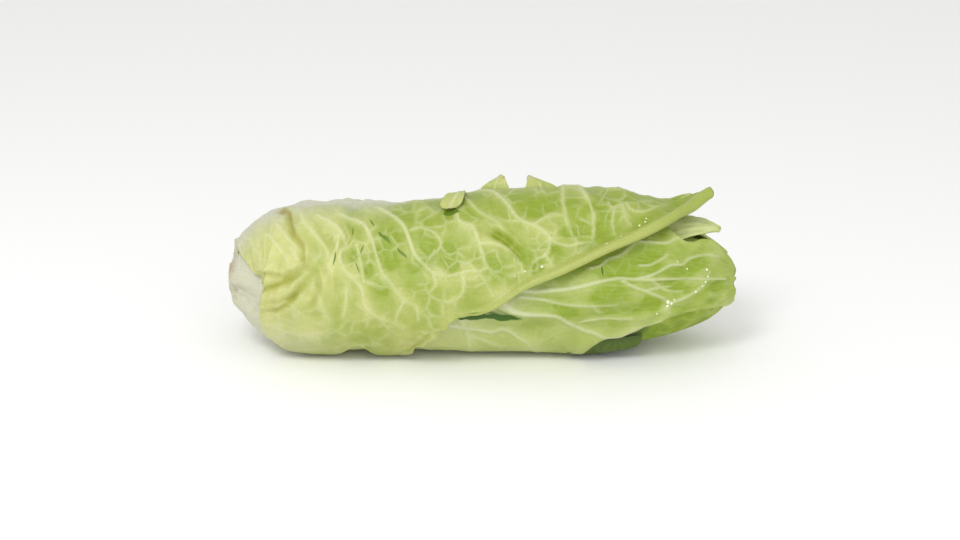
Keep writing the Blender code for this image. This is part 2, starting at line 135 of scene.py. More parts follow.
class HeightMap:
    # how high the leaves laid so far stand over the heart, on a grid of s and angle

    rows, columns, reach = 120, 132, 4

    def __init__(self):
        self.height = np.zeros((self.rows, self.columns))

    def cells(self, s, angle):
        return s / outlineLength * (self.rows - 1), (angle / (2 * math.pi) * self.columns) % self.columns

    def read(self, grid, s, angle):
        row, column = self.cells(s, angle)
        row = np.clip(row, 0, self.rows - 1.001)
        lowRow, lowColumn = row.astype(int), column.astype(int) % self.columns
        nextColumn = (lowColumn + 1) % self.columns
        partRow, partColumn = row - lowRow, column - np.floor(column)
        low = grid[lowRow, lowColumn] * (1 - partColumn) + grid[lowRow, nextColumn] * partColumn
        high = grid[lowRow + 1, lowColumn] * (1 - partColumn) + grid[lowRow + 1, nextColumn] * partColumn
        return low * (1 - partRow) + high * partRow

    def readSmooth(self, grid, s, angle):
        # the same by a cubic spline, for the fine meshes
        row, column = self.cells(s, angle)
        row = np.clip(row, 0, self.rows - 1.001)
        lowRow, lowColumn = np.floor(row).astype(int), np.floor(column).astype(int)
        weights = []
        for part in (row - lowRow, column - lowColumn):
            weights.append([(1 - part) ** 3 / 6, (3 * part**3 - 6 * part**2 + 4) / 6,
                            (-3 * part**3 + 3 * part**2 + 3 * part + 1) / 6, part**3 / 6])
        total = np.zeros(np.shape(s))
        for i in range(4):
            for j in range(4):
                cell = grid[np.clip(lowRow + i - 1, 0, self.rows - 1), (lowColumn + j - 1) % self.columns]
                total += weights[0][i] * weights[1][j] * cell
        return total

    def shifted(self, grid, rows, columns):
        kept = np.clip(np.arange(self.rows) + rows, 0, self.rows - 1)
        return np.roll(grid[kept], -columns, axis=1)

    def draped(self):
        # a smooth surface that nowhere dips below the leaves already laid
        steps = range(-self.reach, self.reach + 1)
        cover = self.height
        cover = np.max([self.shifted(cover, k, 0) for k in steps], axis=0)
        cover = np.max([self.shifted(cover, 0, k) for k in steps], axis=0)
        half = range(-self.reach // 2, self.reach // 2 + 1)
        for _ in range(2):
            cover = np.mean([self.shifted(cover, k, 0) for k in half], axis=0)
            cover = np.mean([self.shifted(cover, 0, k) for k in half], axis=0)
        s = np.linspace(0, outlineLength, self.rows)
        narrow = 1 - np.interp(s, outline[0], outline[2]) / 14.0
        share = np.where(s > outlineLength / 2, np.clip(narrow, 0, 1), 0)[:, None]
        level = np.percentile(cover, 70, axis=1, keepdims=True)
        return cover + share * np.maximum(level - cover, 0)

    def lay(self, s, angle, height):
        s, angle, height = (refined(grid) for grid in (s, angle, height))
        row, column = self.cells(s, angle)
        inside = (row > -0.5) & (row < self.rows - 0.5)
        row = np.clip(np.rint(row[inside]).astype(int), 0, self.rows - 1)
        column = np.rint(column[inside]).astype(int) % self.columns
        np.maximum.at(self.height, (row, column), height[inside])


def refined(grid):
    for axis in (0, 1):
        count = grid.shape[axis]
        fine = np.linspace(0, count - 1, (count - 1) * 6 + 1)
        index = np.minimum(fine.astype(int), count - 2)
        shape = [1, 1]
        shape[axis] = len(fine)
        part = (fine - index).reshape(shape)
        grid = np.take(grid, index, axis) * (1 - part) + np.take(grid, index + 1, axis) * part
    return grid


def closeAtEnds(count, share=0.7):
    even = np.linspace(0, 1, count)
    return (1 - share) * even + share * (0.5 - 0.5 * np.cos(math.pi * even))


plainLeaf = {   # what the plain leaves share
    "widths": [0.50, 0.68, 0.85, 0.94, 1.0, 1.0, 1.0, 1.0, 1.0, 1.0, 1.0],   # shares of the half width
    "narrowAndLiftFrom": (0.6, 0.86),   # shares of the length
    "from": 2, "slant": 24, "wander": 3, "wanderTurn": 2.4,
    "wrinkles": (1.4, 0.55), "wrinkleGreen": 0.14, "veinStep": 0.6, "ribWidth": 9,
}


def plainLeafRows(angleAtStem, angleAtTip, halfWidth, length, tipHeight, tipShare):
    # side vein rows of a plain leaf, from a few of its sizes
    widths, start, rows = plainLeaf["widths"], plainLeaf["from"], []
    for index, along in enumerate(closeAtEnds(len(widths))):
        share = np.interp(along, np.linspace(0, 1, len(widths)), widths)
        narrow, lift = (max(0.0, (along - low) / (1 - low)) for low in plainLeaf["narrowAndLiftFrom"])
        half = halfWidth * share * (1 - (1 - tipShare) * narrow**1.5)
        s = start + (length - start) * along
        angle = angleAtStem + (angleAtTip - angleAtStem) * along
        margin = min(s + plainLeaf["slant"] * math.sin(math.pi * along), length)
        wander = plainLeaf["wander"] * math.sin(plainLeaf["wanderTurn"] * index + angleAtStem)
        sides = (margin, angle + half + wander, margin, angle - half + wander)
        rows.append((s, angle) + sides + (tipHeight * lift,) * 3)
    return rows


def leafGrid(rows, perVein, frontCells, backCells, ribAtStem, fine=False, ragged=0.0, seed=0):
    # the leaf's grid from margin to margin, where each row is a pair of side veins or lies between two
    shares = np.linspace(0, 1, perVein * (len(rows) - 1) + 1)
    if fine:   # the rows lie evenly along the midrib and the margins
        steps = np.diff(smoothRows(rows, shares), axis=0)
        ways = [np.hypot(steps[:, k], np.radians(steps[:, k + 1]) * head["placeRadius"]) for k in (0, 2, 4)]
        way = np.concatenate([[0], np.cumsum(np.maximum.reduce(ways[:2]) + 0.3 * ways[2] + 0.1)])
        shares = np.interp(np.linspace(0, way[-1], len(shares)), way, shares)
    across = np.append(np.linspace(1, 0, frontCells + 1), -np.linspace(0, 1, backCells + 1)[1:])[None, :]
    share, front = np.abs(across), across >= 0
    midS, midAngle, frontS, frontAngle, backS, backAngle, frontOff, midOff, backOff = (
        column[:, None] for column in smoothRows(rows, shares).T
    )
    vein = shares[:, None] * (len(rows) - 1)
    reach = share
    if ragged:
        dice = np.random.default_rng(seed)
        turns, phases = dice.uniform(2, 14, (2, 9)), dice.uniform(0, 6.3, (2, 9))
        waves = [sum(np.sin(turn * vein + phase) / (1 + 0.15 * turn) for turn, phase in zip(*pair))
                 for pair in zip(turns, phases)]
        reach = share + ragged / 60 * np.where(front, waves[0], waves[1]) * share**6
    s = midS + reach * (np.where(front, frontS, backS) - midS)
    s = np.clip(s, 0, outlineLength - head["poleGap"])
    angle = np.radians(midAngle + reach * (np.where(front, frontAngle, backAngle) - midAngle))
    off = np.maximum(midOff + share**2 * (np.where(front, frontOff, backOff) - midOff), 0)
    wave = 0.5 + 0.5 * np.sin(head["ruffleTurn"] * vein + np.where(front, 0.0, 2.0))
    free = 1 - np.clip(-np.sin(angle), 0, 1) ** 4
    off = off + head["ruffle"] * wave * share**4 * free * np.clip((outlineLength - s) / 30, 0, 1)
    along = shares[:, None]
    fromRib = np.interp(s, outline[0], outline[2]) * np.abs(angle - np.radians(midAngle))
    rib = head["ribThickness"] * ribAtStem * bell(fromRib, 0, head["ribWidth"] * (1.5 - along))
    rib *= (1 - along) ** 1.3 * np.clip(s / 40, 0, 1)
    ridge = 0 if fine else head["veinRidge"] * (np.rint(2 * vein) % 2 == 0) * (1 - share**3) * free
    return {"s": s, "angle": angle, "off": off, "thickness": head["blade"] + rib + ridge, "free": free,
            "across": across + 0 * s, "along": along + 0 * s, "vein": vein + 0 * s, "fromRib": fromRib}


# The leaves, laid in the order in which they grew, as the frame has them

leaves = {
    "leaf_back_low": {"plain": (-140, -150, 86, 296, 0.5, 0.8), "rib": 0.8},
    "leaf_under": {"plain": (-92, -74, 84, 297, 0.5, 0.62), "rib": 0.8},
    "leaf_back": {"plain": (168, 164, 82, 292, 0.5, 0.7), "rib": 0.8},
    "leaf_crown": {"plain": (64, 97, 86, 284, 6.0, 0.06), "rib": 0.8},
    "leaf_front": {"rows": [
        (2, -22, 4, 98, 3, -64, 0, 0, 0), (14, -22, 18, 90, 16, -78, 0, 0, 0),
        (30, -21, 38, 76, 36, -92, 0, 0, 0), (52, -19, 62, 75, 64, -104, 0, 0, 0),
        (76, -17, 88, 77, 94, -112, 0, 0, 0), (100, -14, 114, 84, 124, -116, 0, 0, 0),
        (124, -8, 138, 89, 153, -117, 0, 0, 0), (148, 0, 162, 92, 181, -108, 0, 0, 0),
        (172, 7, 186, 92, 200, -77, 0, 0, 0.5), (196, 12, 209, 88, 215, -41, 0, 0, 2),
        (218, 14, 230, 82, 233, -36, 0, 0, 1), (237, 15, 246, 75, 248, -26, 0, 0, 1),
        (253, 16, 257, 66, 264, -20, 0, 0, 1), (268, 17, 267, 57, 276, -20, 0, 0, 1),
        (280, 20, 276, 63, 284, -25, 0, 0, 0), (289, 24, 285, 66, 290, -35, 0, 1, 0),
        (295.5, 22, 296, 68, 293, -40, 0, 1, 0),
    ], "rib": 1.0},
    "leaf_wrapper": {"rows": [
        (2, 128, 10, 76, 2, 166, 0, 0, 0), (11, 128, 16, 49, 12, 169, 0, 0, 0),
        (20, 128, 25, 28, 26, 173, 1, 0, 0), (29, 127, 31, 22, 42, 178, 1, 0, 0),
        (37, 126, 31, 4, 58, 183, 2, 0, 0), (45, 126, 29, -14, 74, 188, 1, 0, 1),
        (54, 125, 31, -37, 90, 193, 0, 0, 1), (64, 125, 43, -55, 104, 197, 0, 0, 0),
        (73, 124, 63, -60, 116, 199, 0, 0, 1), (81, 123, 80, -38, 127, 201, 0, 0, 2),
        (91, 123, 97, -63, 139, 202, 1, 0, 3), (105, 122, 121, -30, 154, 203, 1, 0, 1),
        (121, 120, 136, -8, 170, 202, 1, 0, 0), (138, 118, 154, -3, 186, 199, 0, 2, 2),
        (158, 116, 175, 13, 202, 194, 0, 4, 4),
        (181, 113, 197, 24, 218, 187, 0, 5, 2), (204, 110, 218, 37, 232, 178, 0, 5, 1),
        (224, 107, 239, 51, 244, 166, 0, 6, 2), (242, 104, 254, 65, 254, 151, 1, 4, 3),
        (256, 101, 265, 79, 263, 128, 3, 4, 4), (270, 98, 273, 92, 273, 106, 10, 11, 11),
    ], "rib": 1.0},
}
for leaf in leaves.values():
    if "plain" in leaf:
        leaf["rows"] = plainLeafRows(*leaf["plain"])

heartLeaves = {
    "middles": [20, 157, -66, 71], "levels": [1.2, 2.0, 2.8, 3.6], "from": 150.0, "halfWidth": 76,
    "coreRings": 90, "coreSides": 96, "coreShorter": 4,
    "perVein": 10, "side": 20, "blade": 0.8, "lowest": 0.2,
    "cellDepth": 0.2, "waveHeight": 0.4, "seed": 83.0, "veins": (0.7, 1.4), "veinSeed": 90,
}


def heartRows(middle):
    rows = []
    for along in closeAtEnds(7, 0.4):
        start = heartLeaves["from"]
        s = start + (outlineLength - head["poleGap"] - start) * along
        half = heartLeaves["halfWidth"] * (0.62 + 0.38 * math.sin(math.pi * along))
        angle, margin = middle + 14 * along, s + 12 * math.sin(math.pi * along)
        rows.append((s, angle, margin, angle + half, margin, angle - half, 0, 0, 0))
    return rows


heights = HeightMap()
for middle, level in zip(heartLeaves["middles"], heartLeaves["levels"]):
    grid = leafGrid(heartRows(middle), 2, 4, 4, 0.0)
    heights.lay(grid["s"], grid["angle"], np.full(grid["s"].shape, level))
for name, leaf in leaves.items():
    leaf["below"] = heights.draped()
    if name == "leaf_wrapper":
        break
    cells = (8, 10) if name == "leaf_front" else (7, 7)
    grid = leafGrid(leaf["rows"], 2, *cells, leaf["rib"])
    below = heights.read(leaf["below"], grid["s"], grid["angle"])
    heights.lay(grid["s"], grid["angle"], below + head["gap"] + grid["off"] + grid["thickness"])
print("leaves laid on one another")


# Shader groups and materials

def feed(tree, socket, value):
    if isinstance(value, bpy.types.NodeSocket):
        tree.links.new(value, socket)
    else:
        socket.default_value = value


def setInputs(tree, node, values):
    for label, value in values.items():
        feed(tree, node.inputs[label], value)


def addNode(tree, kind, settings=None, **inputs):
    made = tree.nodes.new(kind)
    for key, value in (settings or {}).items():
        setattr(made, key, value)
    setInputs(tree, made, {key.replace("_", " "): value for key, value in inputs.items()})
    return made


def addMath(tree, operation, *values, clamp=False):
    made = addNode(tree, "ShaderNodeMath", {"operation": operation, "use_clamp": clamp})
    for socket, value in zip(made.inputs, values):
        feed(tree, socket, value)
    return made.outputs[0]


def addVector(tree, operation, *values, scale=None):
    made = addNode(tree, "ShaderNodeVectorMath", {"operation": operation})
    for socket, value in zip(made.inputs, values):
        feed(tree, socket, value)
    if scale is not None:
        feed(tree, made.inputs[3], scale)
    return made.outputs["Value" if operation in ("DOT_PRODUCT", "LENGTH") else "Vector"]


def addRamp(tree, value, low, high, first=0.0, last=1.0, kind="SMOOTHSTEP"):
    made = addNode(tree, "ShaderNodeMapRange", {"interpolation_type": kind},
                   Value=value, From_Min=low, From_Max=high, To_Min=first, To_Max=last)
    return made.outputs["Result"]


def addNoise(tree, spot, scale, detail, roughness=0.5):
    made = addNode(tree, "ShaderNodeTexNoise", Vector=spot, Scale=scale, Detail=detail, Roughness=roughness)
    return made.outputs["Fac"]


def addMix(tree, share, first, second):
    made = addNode(tree, "ShaderNodeMix", {"data_type": "RGBA"})
    for index, value in ((0, share), (6, first), (7, second)):
        feed(tree, made.inputs[index], value)
    return made.outputs[2]


def newMaterial(name):
    material = bpy.data.materials.new(name)
    material.use_nodes = True
    return material, material.node_tree, material.node_tree.nodes["Principled BSDF"]


def linear(red, green, blue):
    # a colour as a shader takes it, from the numbers a colour picker shows
    colour = tuple(c / 12.92 if c <= 0.04045 else ((c + 0.055) / 1.055) ** 2.4 for c in (red, green, blue))
    return colour + (1.0,)


def addSockets(group, inputs, outputs):
    kinds = {"F": "NodeSocketFloat", "V": "NodeSocketVector", "C": "NodeSocketColor",
             "G": "NodeSocketGeometry", "M": "NodeSocketMaterial"}
    for direction, rows in (("INPUT", inputs), ("OUTPUT", outputs)):
        for label, kind, *start in rows:
            socket = group.interface.new_socket(name=label, in_out=direction, socket_type=kinds[kind])
            if start:
                socket.default_value = start[0]
    return group.nodes.new("NodeGroupInput").outputs, group.nodes.new("NodeGroupOutput").inputs


def edgeDistance(tree, spot, scale):
    made = addNode(tree, "ShaderNodeTexVoronoi", {"feature": "DISTANCE_TO_EDGE"}, Vector=spot, Scale=scale)
    return made.outputs["Distance"]


def netPattern(tree, spot, cellSize, seed):
    # warped cells between the small veins: the shader and the relief share it, so that they meet
    lifted = addVector(tree, "ADD", spot, addNode(tree, "ShaderNodeCombineXYZ", Z=seed).outputs[0])
    warp = addNode(tree, "ShaderNodeTexNoise", Vector=lifted, Scale=0.06, Detail=1.0)
    moved = addVector(tree, "MULTIPLY_ADD", warp.outputs["Color"], (11.0, 11.0, 0.0), lifted)
    scale = addMath(tree, "DIVIDE", 1.0, cellSize)
    return edgeDistance(tree, moved, scale), lifted, moved


def leafSkinGroup():
    # the colour of a leaf from its painted fields, with the finest net, streaks and specks worked out
    group = bpy.data.node_groups.new("leafSkin", "ShaderNodeTree")
    labels = ["Yellow Color", "Green Color", "Vein Color", "White Color", "Deep Color", "Brown Color"]
    take, give = addSockets(group, [
        ("Place", "V"), ("Vein", "F"), ("White", "F"), ("Green", "F"), ("Deep", "F"), ("Brown", "F"),
        ("Smooth", "F"), ("Cell Size", "F", 8.0), ("Net", "F", 0.3), ("Streaks", "F", 0.1),
        ("Seed", "F", 0.0), *((label, "C") for label in labels),
    ], [("Color", "C"), ("Roughness", "F"), ("Height", "F")])

    def times(*values):
        return addMath(group, "MULTIPLY", *values)

    distance, lifted, moved = netPattern(group, take["Place"], take["Cell Size"], take["Seed"])
    rough = addMath(group, "SUBTRACT", 1.0, take["Smooth"])
    patches = addRamp(group, addNoise(group, lifted, 0.07, 2.0), 0.36, 0.62)
    netAmount = times(times(patches, take["Net"]), rough)
    net = addRamp(group, distance, 0.0, 0.14, 1.0, 0.0)
    smallScale = addMath(group, "DIVIDE", 2.7, take["Cell Size"])
    smallNet = addRamp(group, edgeDistance(group, moved, smallScale), 0.0, 0.13, 1.0, 0.0)
    clouds = addMath(group, "SUBTRACT", addNoise(group, lifted, 0.06, 4.0), 0.5)
    specks = addNoise(group, lifted, 0.9, 4.0, 0.6)
    drawn = addVector(group, "MULTIPLY", lifted, (0.05, 0.7, 1.0))
    streaks = addRamp(group, addNoise(group, drawn, 1.0, 3.0), 0.35, 0.75)
    cloudy = addMath(group, "MULTIPLY_ADD", clouds, times(rough, 1.1), take["Green"])
    inCell = times(addRamp(group, distance, 0.05, 0.35), netAmount)
    green = addMath(group, "ADD", cloudy, times(inCell, 0.4), clamp=True)
    netShare = times(addMath(group, "MULTIPLY_ADD", smallNet, 0.25, net), netAmount)
    veinShare = addMath(group, "MAXIMUM", times(take["Vein"], 0.9), netShare, clamp=True)
    colour = take["Yellow Color"]
    # one of these mixes is painted shade: a darker colour laid into pleat dips, beside the steps of creases
    # and edges, and where one leaf lies in another's shadow
    for share, label in (
        (green, "Green"), (veinShare, "Vein"), (take["White"], "White"),
        (times(streaks, take["Streaks"]), "Yellow"), (take["Deep"], "Deep"), (take["Brown"], "Brown"),
    ):
        colour = addMix(group, share, colour, take[label + " Color"])
    shade = addRamp(group, specks, 0.3, 0.7, 0.94, 1.05, "LINEAR")
    feed(group, give["Color"], addVector(group, "SCALE", colour, scale=shade))
    gloss = addRamp(group, specks, 0.0, 1.0, 0.34, 0.56, "LINEAR")
    gloss = addMath(group, "MULTIPLY_ADD", take["Smooth"], -0.08, gloss)
    feed(group, give["Roughness"], addMath(group, "MULTIPLY_ADD", take["Brown"], 0.25, gloss, clamp=True))
    bumps = times(addMath(group, "MULTIPLY_ADD", smallNet, 0.8, net), netAmount)
    bumps = addMath(group, "MULTIPLY_ADD", specks, 0.35, bumps)
    feed(group, give["Height"], addMath(group, "ADD", bumps, times(streaks, times(take["White"], 0.5))))
    return group


def tornSlitGroup():
    # the mask of a pointed slit in the blade, in the same coordinates as the leaf's own pattern, where the
    # slit's painted shadow goes
    group = bpy.data.node_groups.new("tornSlit", "ShaderNodeTree")
    take, give = addSockets(group, [
        ("Place", "V"), ("Middle", "V"), ("Along", "V"), ("Length", "F"), ("Width", "F"),
    ], [("Mask", "F")])
    away = addVector(group, "SUBTRACT", take["Place"], take["Middle"])
    side = addVector(group, "CROSS_PRODUCT", take["Along"], (0.0, 0.0, 1.0))
    along, across = (   # as shares of the slit's half length and half width
        addMath(group, "DIVIDE", addVector(group, "DOT_PRODUCT", away, toward),
                addMath(group, "MULTIPLY", size, 0.5))
        for toward, size in ((take["Along"], take["Length"]), (side, take["Width"]))
    )
    ragged = addNoise(group, take["Place"], 0.2, 0.0)
    across = addMath(group, "ADD", across, addMath(group, "MULTIPLY_ADD", ragged, 1.4, -0.7))
    outside = addMath(group, "MULTIPLY_ADD", along, along, addMath(group, "ABSOLUTE", across))
    feed(group, give["Mask"], addRamp(group, outside, 0.75, 1.15, 1.0, 0.0))
    return group


leafSkin = leafSkinGroup()
tornSlit = tornSlitGroup()

# each finish has a colour of painted shade for pleat dips, steps and leaves lying in shadow; the two with
# slits also have a darkest colour of painted shadow for inside the slits
finishes = {
    "wrapperSkin": {"yellow": (0.75, 0.76, 0.48), "green": (0.52, 0.60, 0.13), "vein": (0.78, 0.80, 0.61),
                    "white": (0.77, 0.77, 0.68), "deep": (0.59, 0.60, 0.08), "brown": (0.60, 0.54, 0.20),
                    "dark": (0.38, 0.48, 0.08), "net": 0.33, "cell": 9.0, "streaks": 0.1, "subsurface": 0.15},
    "frontSkin": {"yellow": (0.72, 0.75, 0.47), "green": (0.51, 0.60, 0.10), "vein": (0.77, 0.79, 0.63),
                  "white": (0.79, 0.79, 0.70), "deep": (0.30, 0.40, 0.12), "brown": (0.60, 0.44, 0.32),
                  "dark": (0.22, 0.37, 0.02), "net": 0.13, "cell": 7.5, "streaks": 0.16, "subsurface": 0.15},
    "crownSkin": {"yellow": (0.80, 0.83, 0.56), "green": (0.62, 0.69, 0.30), "vein": (0.78, 0.80, 0.58),
                  "white": (0.78, 0.79, 0.66), "deep": (0.40, 0.49, 0.12), "brown": (0.54, 0.44, 0.22),
                  "net": 0.25, "cell": 7.0, "streaks": 0.15, "subsurface": 0.15},
    "underSkin": {"yellow": (0.60, 0.67, 0.16), "green": (0.45, 0.55, 0.03), "vein": (0.68, 0.73, 0.38),
                  "white": (0.78, 0.79, 0.64), "deep": (0.27, 0.37, 0.12), "brown": (0.50, 0.42, 0.20),
                  "net": 0.15, "cell": 7.0, "streaks": 0.15, "subsurface": 0.15},
    # the scrap's dark greens are partly its own and partly painted shade, for where it lies under the head
    "scrapGreenAndShadeSkin": {"yellow": (0.33, 0.41, 0.11), "green": (0.24, 0.33, 0.05), "vein": (0.52, 0.60, 0.36),
                  "white": (0.78, 0.79, 0.66), "deep": (0.26, 0.36, 0.12), "brown": (0.42, 0.36, 0.20),
                  "net": 0.15, "cell": 6.0, "streaks": 0.2, "subsurface": 0.1},
    "backSkin": {"yellow": (0.76, 0.79, 0.46), "green": (0.56, 0.64, 0.20), "vein": (0.80, 0.82, 0.60),
                 "white": (0.80, 0.80, 0.70), "deep": (0.40, 0.49, 0.14), "brown": (0.56, 0.48, 0.24),
                 "net": 0.35, "cell": 8.0, "streaks": 0.15, "subsurface": 0.15},
    "heartSkin": {"yellow": (0.77, 0.79, 0.42), "green": (0.60, 0.67, 0.22), "vein": (0.80, 0.82, 0.58),
                  "white": (0.80, 0.80, 0.68), "deep": (0.42, 0.50, 0.14), "brown": (0.56, 0.48, 0.26),
                  "net": 0.25, "cell": 6.0, "streaks": 0.2, "subsurface": 0.15},
}


surface = {   # what all leaves share
    "bump": 0.75, "bumpHeight": 0.0005, "specular": 0.4, "radius": (0.8, 1.0, 0.35), "depth": 0.003,
}


def leafMaterial(name, seed, slits=()):
    look = finishes[name]
    material, tree, shader = newMaterial(name)
    skin = addNode(tree, "ShaderNodeGroup", {"node_tree": leafSkin})
    for key in ("vein", "white", "green", "deep", "brown", "smooth"):
        read = addNode(tree, "ShaderNodeAttribute", {"attribute_name": key})
        feed(tree, skin.inputs[key.capitalize()], read.outputs["Fac"])
    spot = addNode(tree, "ShaderNodeAttribute", {"attribute_name": "leafPlace"}).outputs["Vector"]
    setInputs(tree, skin, {"Place": spot, "Cell Size": look["cell"], "Net": look["net"],
                           "Streaks": look["streaks"], "Seed": seed})
    for key in ("yellow", "green", "vein", "white", "deep", "brown"):
        feed(tree, skin.inputs[key.capitalize() + " Color"], linear(*look[key]))
    colour, mask = skin.outputs["Color"], 0.0
    for start, end, width in slits:
        # the ends in the pattern's own mm
        start, end = np.array([(*start, 0), (*end, 0)]) * (1, math.radians(head["placeRadius"]), 1)
        length = np.linalg.norm(end - start)
        slit = addNode(tree, "ShaderNodeGroup", {"node_tree": tornSlit}, Place=spot, Middle=(start + end) / 2,
                       Along=(end - start) / length, Length=length, Width=width)
        mask = addMath(tree, "MAXIMUM", mask, slit.outputs["Mask"])
    # painted shadow: each slit is coloured with the dark colour of the shade inside a tear; the blade is not
    # cut there
    if slits:
        colour = addMix(tree, mask, colour, linear(*look["dark"]))
    bump = addNode(tree, "ShaderNodeBump", Strength=surface["bump"], Distance=surface["bumpHeight"],
                   Height=skin.outputs["Height"])
    setInputs(tree, shader, {
        "Base Color": colour, "Roughness": skin.outputs["Roughness"], "Normal": bump.outputs["Normal"],
        "Specular IOR Level": surface["specular"], "Subsurface Weight": look["subsurface"],
        "Subsurface Radius": surface["radius"], "Subsurface Scale": surface["depth"],
    })
    return material


# Relief of a leaf, as a Geometry Nodes tree: its veins and folds, the small cells and a soft unevenness

def readField(tree, name, kind="FLOAT"):
    made = addNode(tree, "GeometryNodeInputNamedAttribute", {"data_type": kind}, Name=name)
    return made.outputs["Attribute"]


def leafReliefTree():
    tree = bpy.data.node_groups.new("leafRelief", "GeometryNodeTree")
    take, give = addSockets(tree, [
        ("Geometry", "G"), ("Cell Size", "F", 8.0), ("Cell Depth", "F", 0.3), ("Wave Size", "F", 25.0),
        ("Wave Height", "F", 0.6), ("Seed", "F", 0.0), ("Material", "M"),
    ], [("Geometry", "G")])

    spot = readField(tree, "leafPlace", "FLOAT_VECTOR")
    distance, lifted, _ = netPattern(tree, spot, take["Cell Size"], take["Seed"])
    sunken = addMath(tree, "MULTIPLY", addRamp(tree, distance, 0.02, 0.3), take["Cell Depth"])
    sunken = addMath(tree, "MULTIPLY", sunken, addMath(tree, "SUBTRACT", 1.0, readField(tree, "vein")))
    wave = addNoise(tree, lifted, addMath(tree, "DIVIDE", 1.0, take["Wave Size"]), 1.5)
    wave = addMath(tree, "MULTIPLY", addMath(tree, "SUBTRACT", wave, 0.5), take["Wave Height"])
    loose = addMath(tree, "MULTIPLY", addMath(tree, "SUBTRACT", wave, sunken), readField(tree, "loose"))
    height = addMath(tree, "MULTIPLY", addMath(tree, "ADD", loose, readField(tree, "relief")), mm)
    offset = addVector(tree, "SCALE", readField(tree, "outward", "FLOAT_VECTOR"), scale=height)
    moved = addNode(tree, "GeometryNodeSetPosition", Geometry=take["Geometry"], Offset=offset)
    return finishTree(tree, moved, take, give)


def finishTree(tree, last, take, give):
    real = addNode(tree, "GeometryNodeRealizeInstances", Geometry=last.outputs[0])
    done = addNode(tree, "GeometryNodeSetMaterial", Geometry=real.outputs[0], Material=take["Material"])
    feed(tree, give["Geometry"], done.outputs[0])
    return tree


leafRelief = leafReliefTree()


def runNodes(piece, tree, values):
    # the tree's result as the piece's own plain mesh
    modifier = piece.modifiers.new(tree.name, "NODES")
    modifier.node_group = tree
    for item in tree.interface.items_tree:
        if item.in_out == "INPUT" and item.name in values:
            modifier[item.identifier] = values[item.name]
    graph = bpy.context.evaluated_depsgraph_get()
    finished = bpy.data.meshes.new_from_object(piece.evaluated_get(graph))
    piece.modifiers.clear()
    piece.data = finished
    finished.name = piece.name
    points = np.zeros(len(finished.vertices) * 3, np.float32)
    finished.vertices.foreach_get("co", points)
    points[2::3] = np.maximum(points[2::3], 0)   # nothing passes the floor
    finished.vertices.foreach_set("co", points)
    finished.update()


def newPiece(name, points, faces, material, fields=None):
    # a mesh from points in mm on the head's axes, with its faces turned outwards
    volume = 0.0
    for split in ((0, 1, 2), (0, 2, 3))[: faces.shape[1] - 2]:
        a, b, c = (points[faces[:, k]] for k in split)
        volume += np.einsum("ij,ij->", a, np.cross(b, c))
    if volume < 0:
        faces = faces[:, ::-1]
    mesh = bpy.data.meshes.new(name)
    mesh.from_pydata((points * mm + headOrigin).tolist(), [], faces.tolist())
    mesh.shade_smooth()
    mesh.materials.append(material)
    for key, values in (fields or {}).items():
        addField(mesh, key, values)
    return linked(bpy.data.objects.new(name, mesh))


def addField(mesh, name, values):
    kind, label = ("FLOAT_VECTOR", "vector") if values.ndim == 2 else ("FLOAT", "value")
    mesh.attributes.new(name, kind, "POINT").data.foreach_set(label, values.astype(np.float32).ravel())


def linked(made):
    # the object, once it is in the scene
    scene.collection.objects.link(made)
    return made


def turnedFaces(rings, sides):
    # the faces of rings of points, closed at both ends by a point of their own after the last ring
    corner = np.arange(rings * sides).reshape(rings, sides)
    right = np.roll(corner, -1, axis=1)
    first, last = (np.full(sides, rings * sides + k) for k in (0, 1))
    threes = ((corner[:-1], right[:-1], right[1:]), (corner[:-1], right[1:], corner[1:]),
              (right[0], corner[0], first), (corner[-1], right[-1], last))
    return np.concatenate([np.stack(three, -1).reshape(-1, 3) for three in threes])


base = {   # how a leaf's stalk end closes round the stem
    "rows": 9, "end": 2.1, "wander": 0.25, "closest": 9.3, "share": 0.3,
    "bulge": 2.6, "bulgeReach": 16,
    "cornerFrom": 2.1, "cornerTo": 1.5,   # where a leaf that ends shorter does so, as a turn from the front
    "scarTurn": 45, "scarWidth": 16, "scarRows": 16,
}


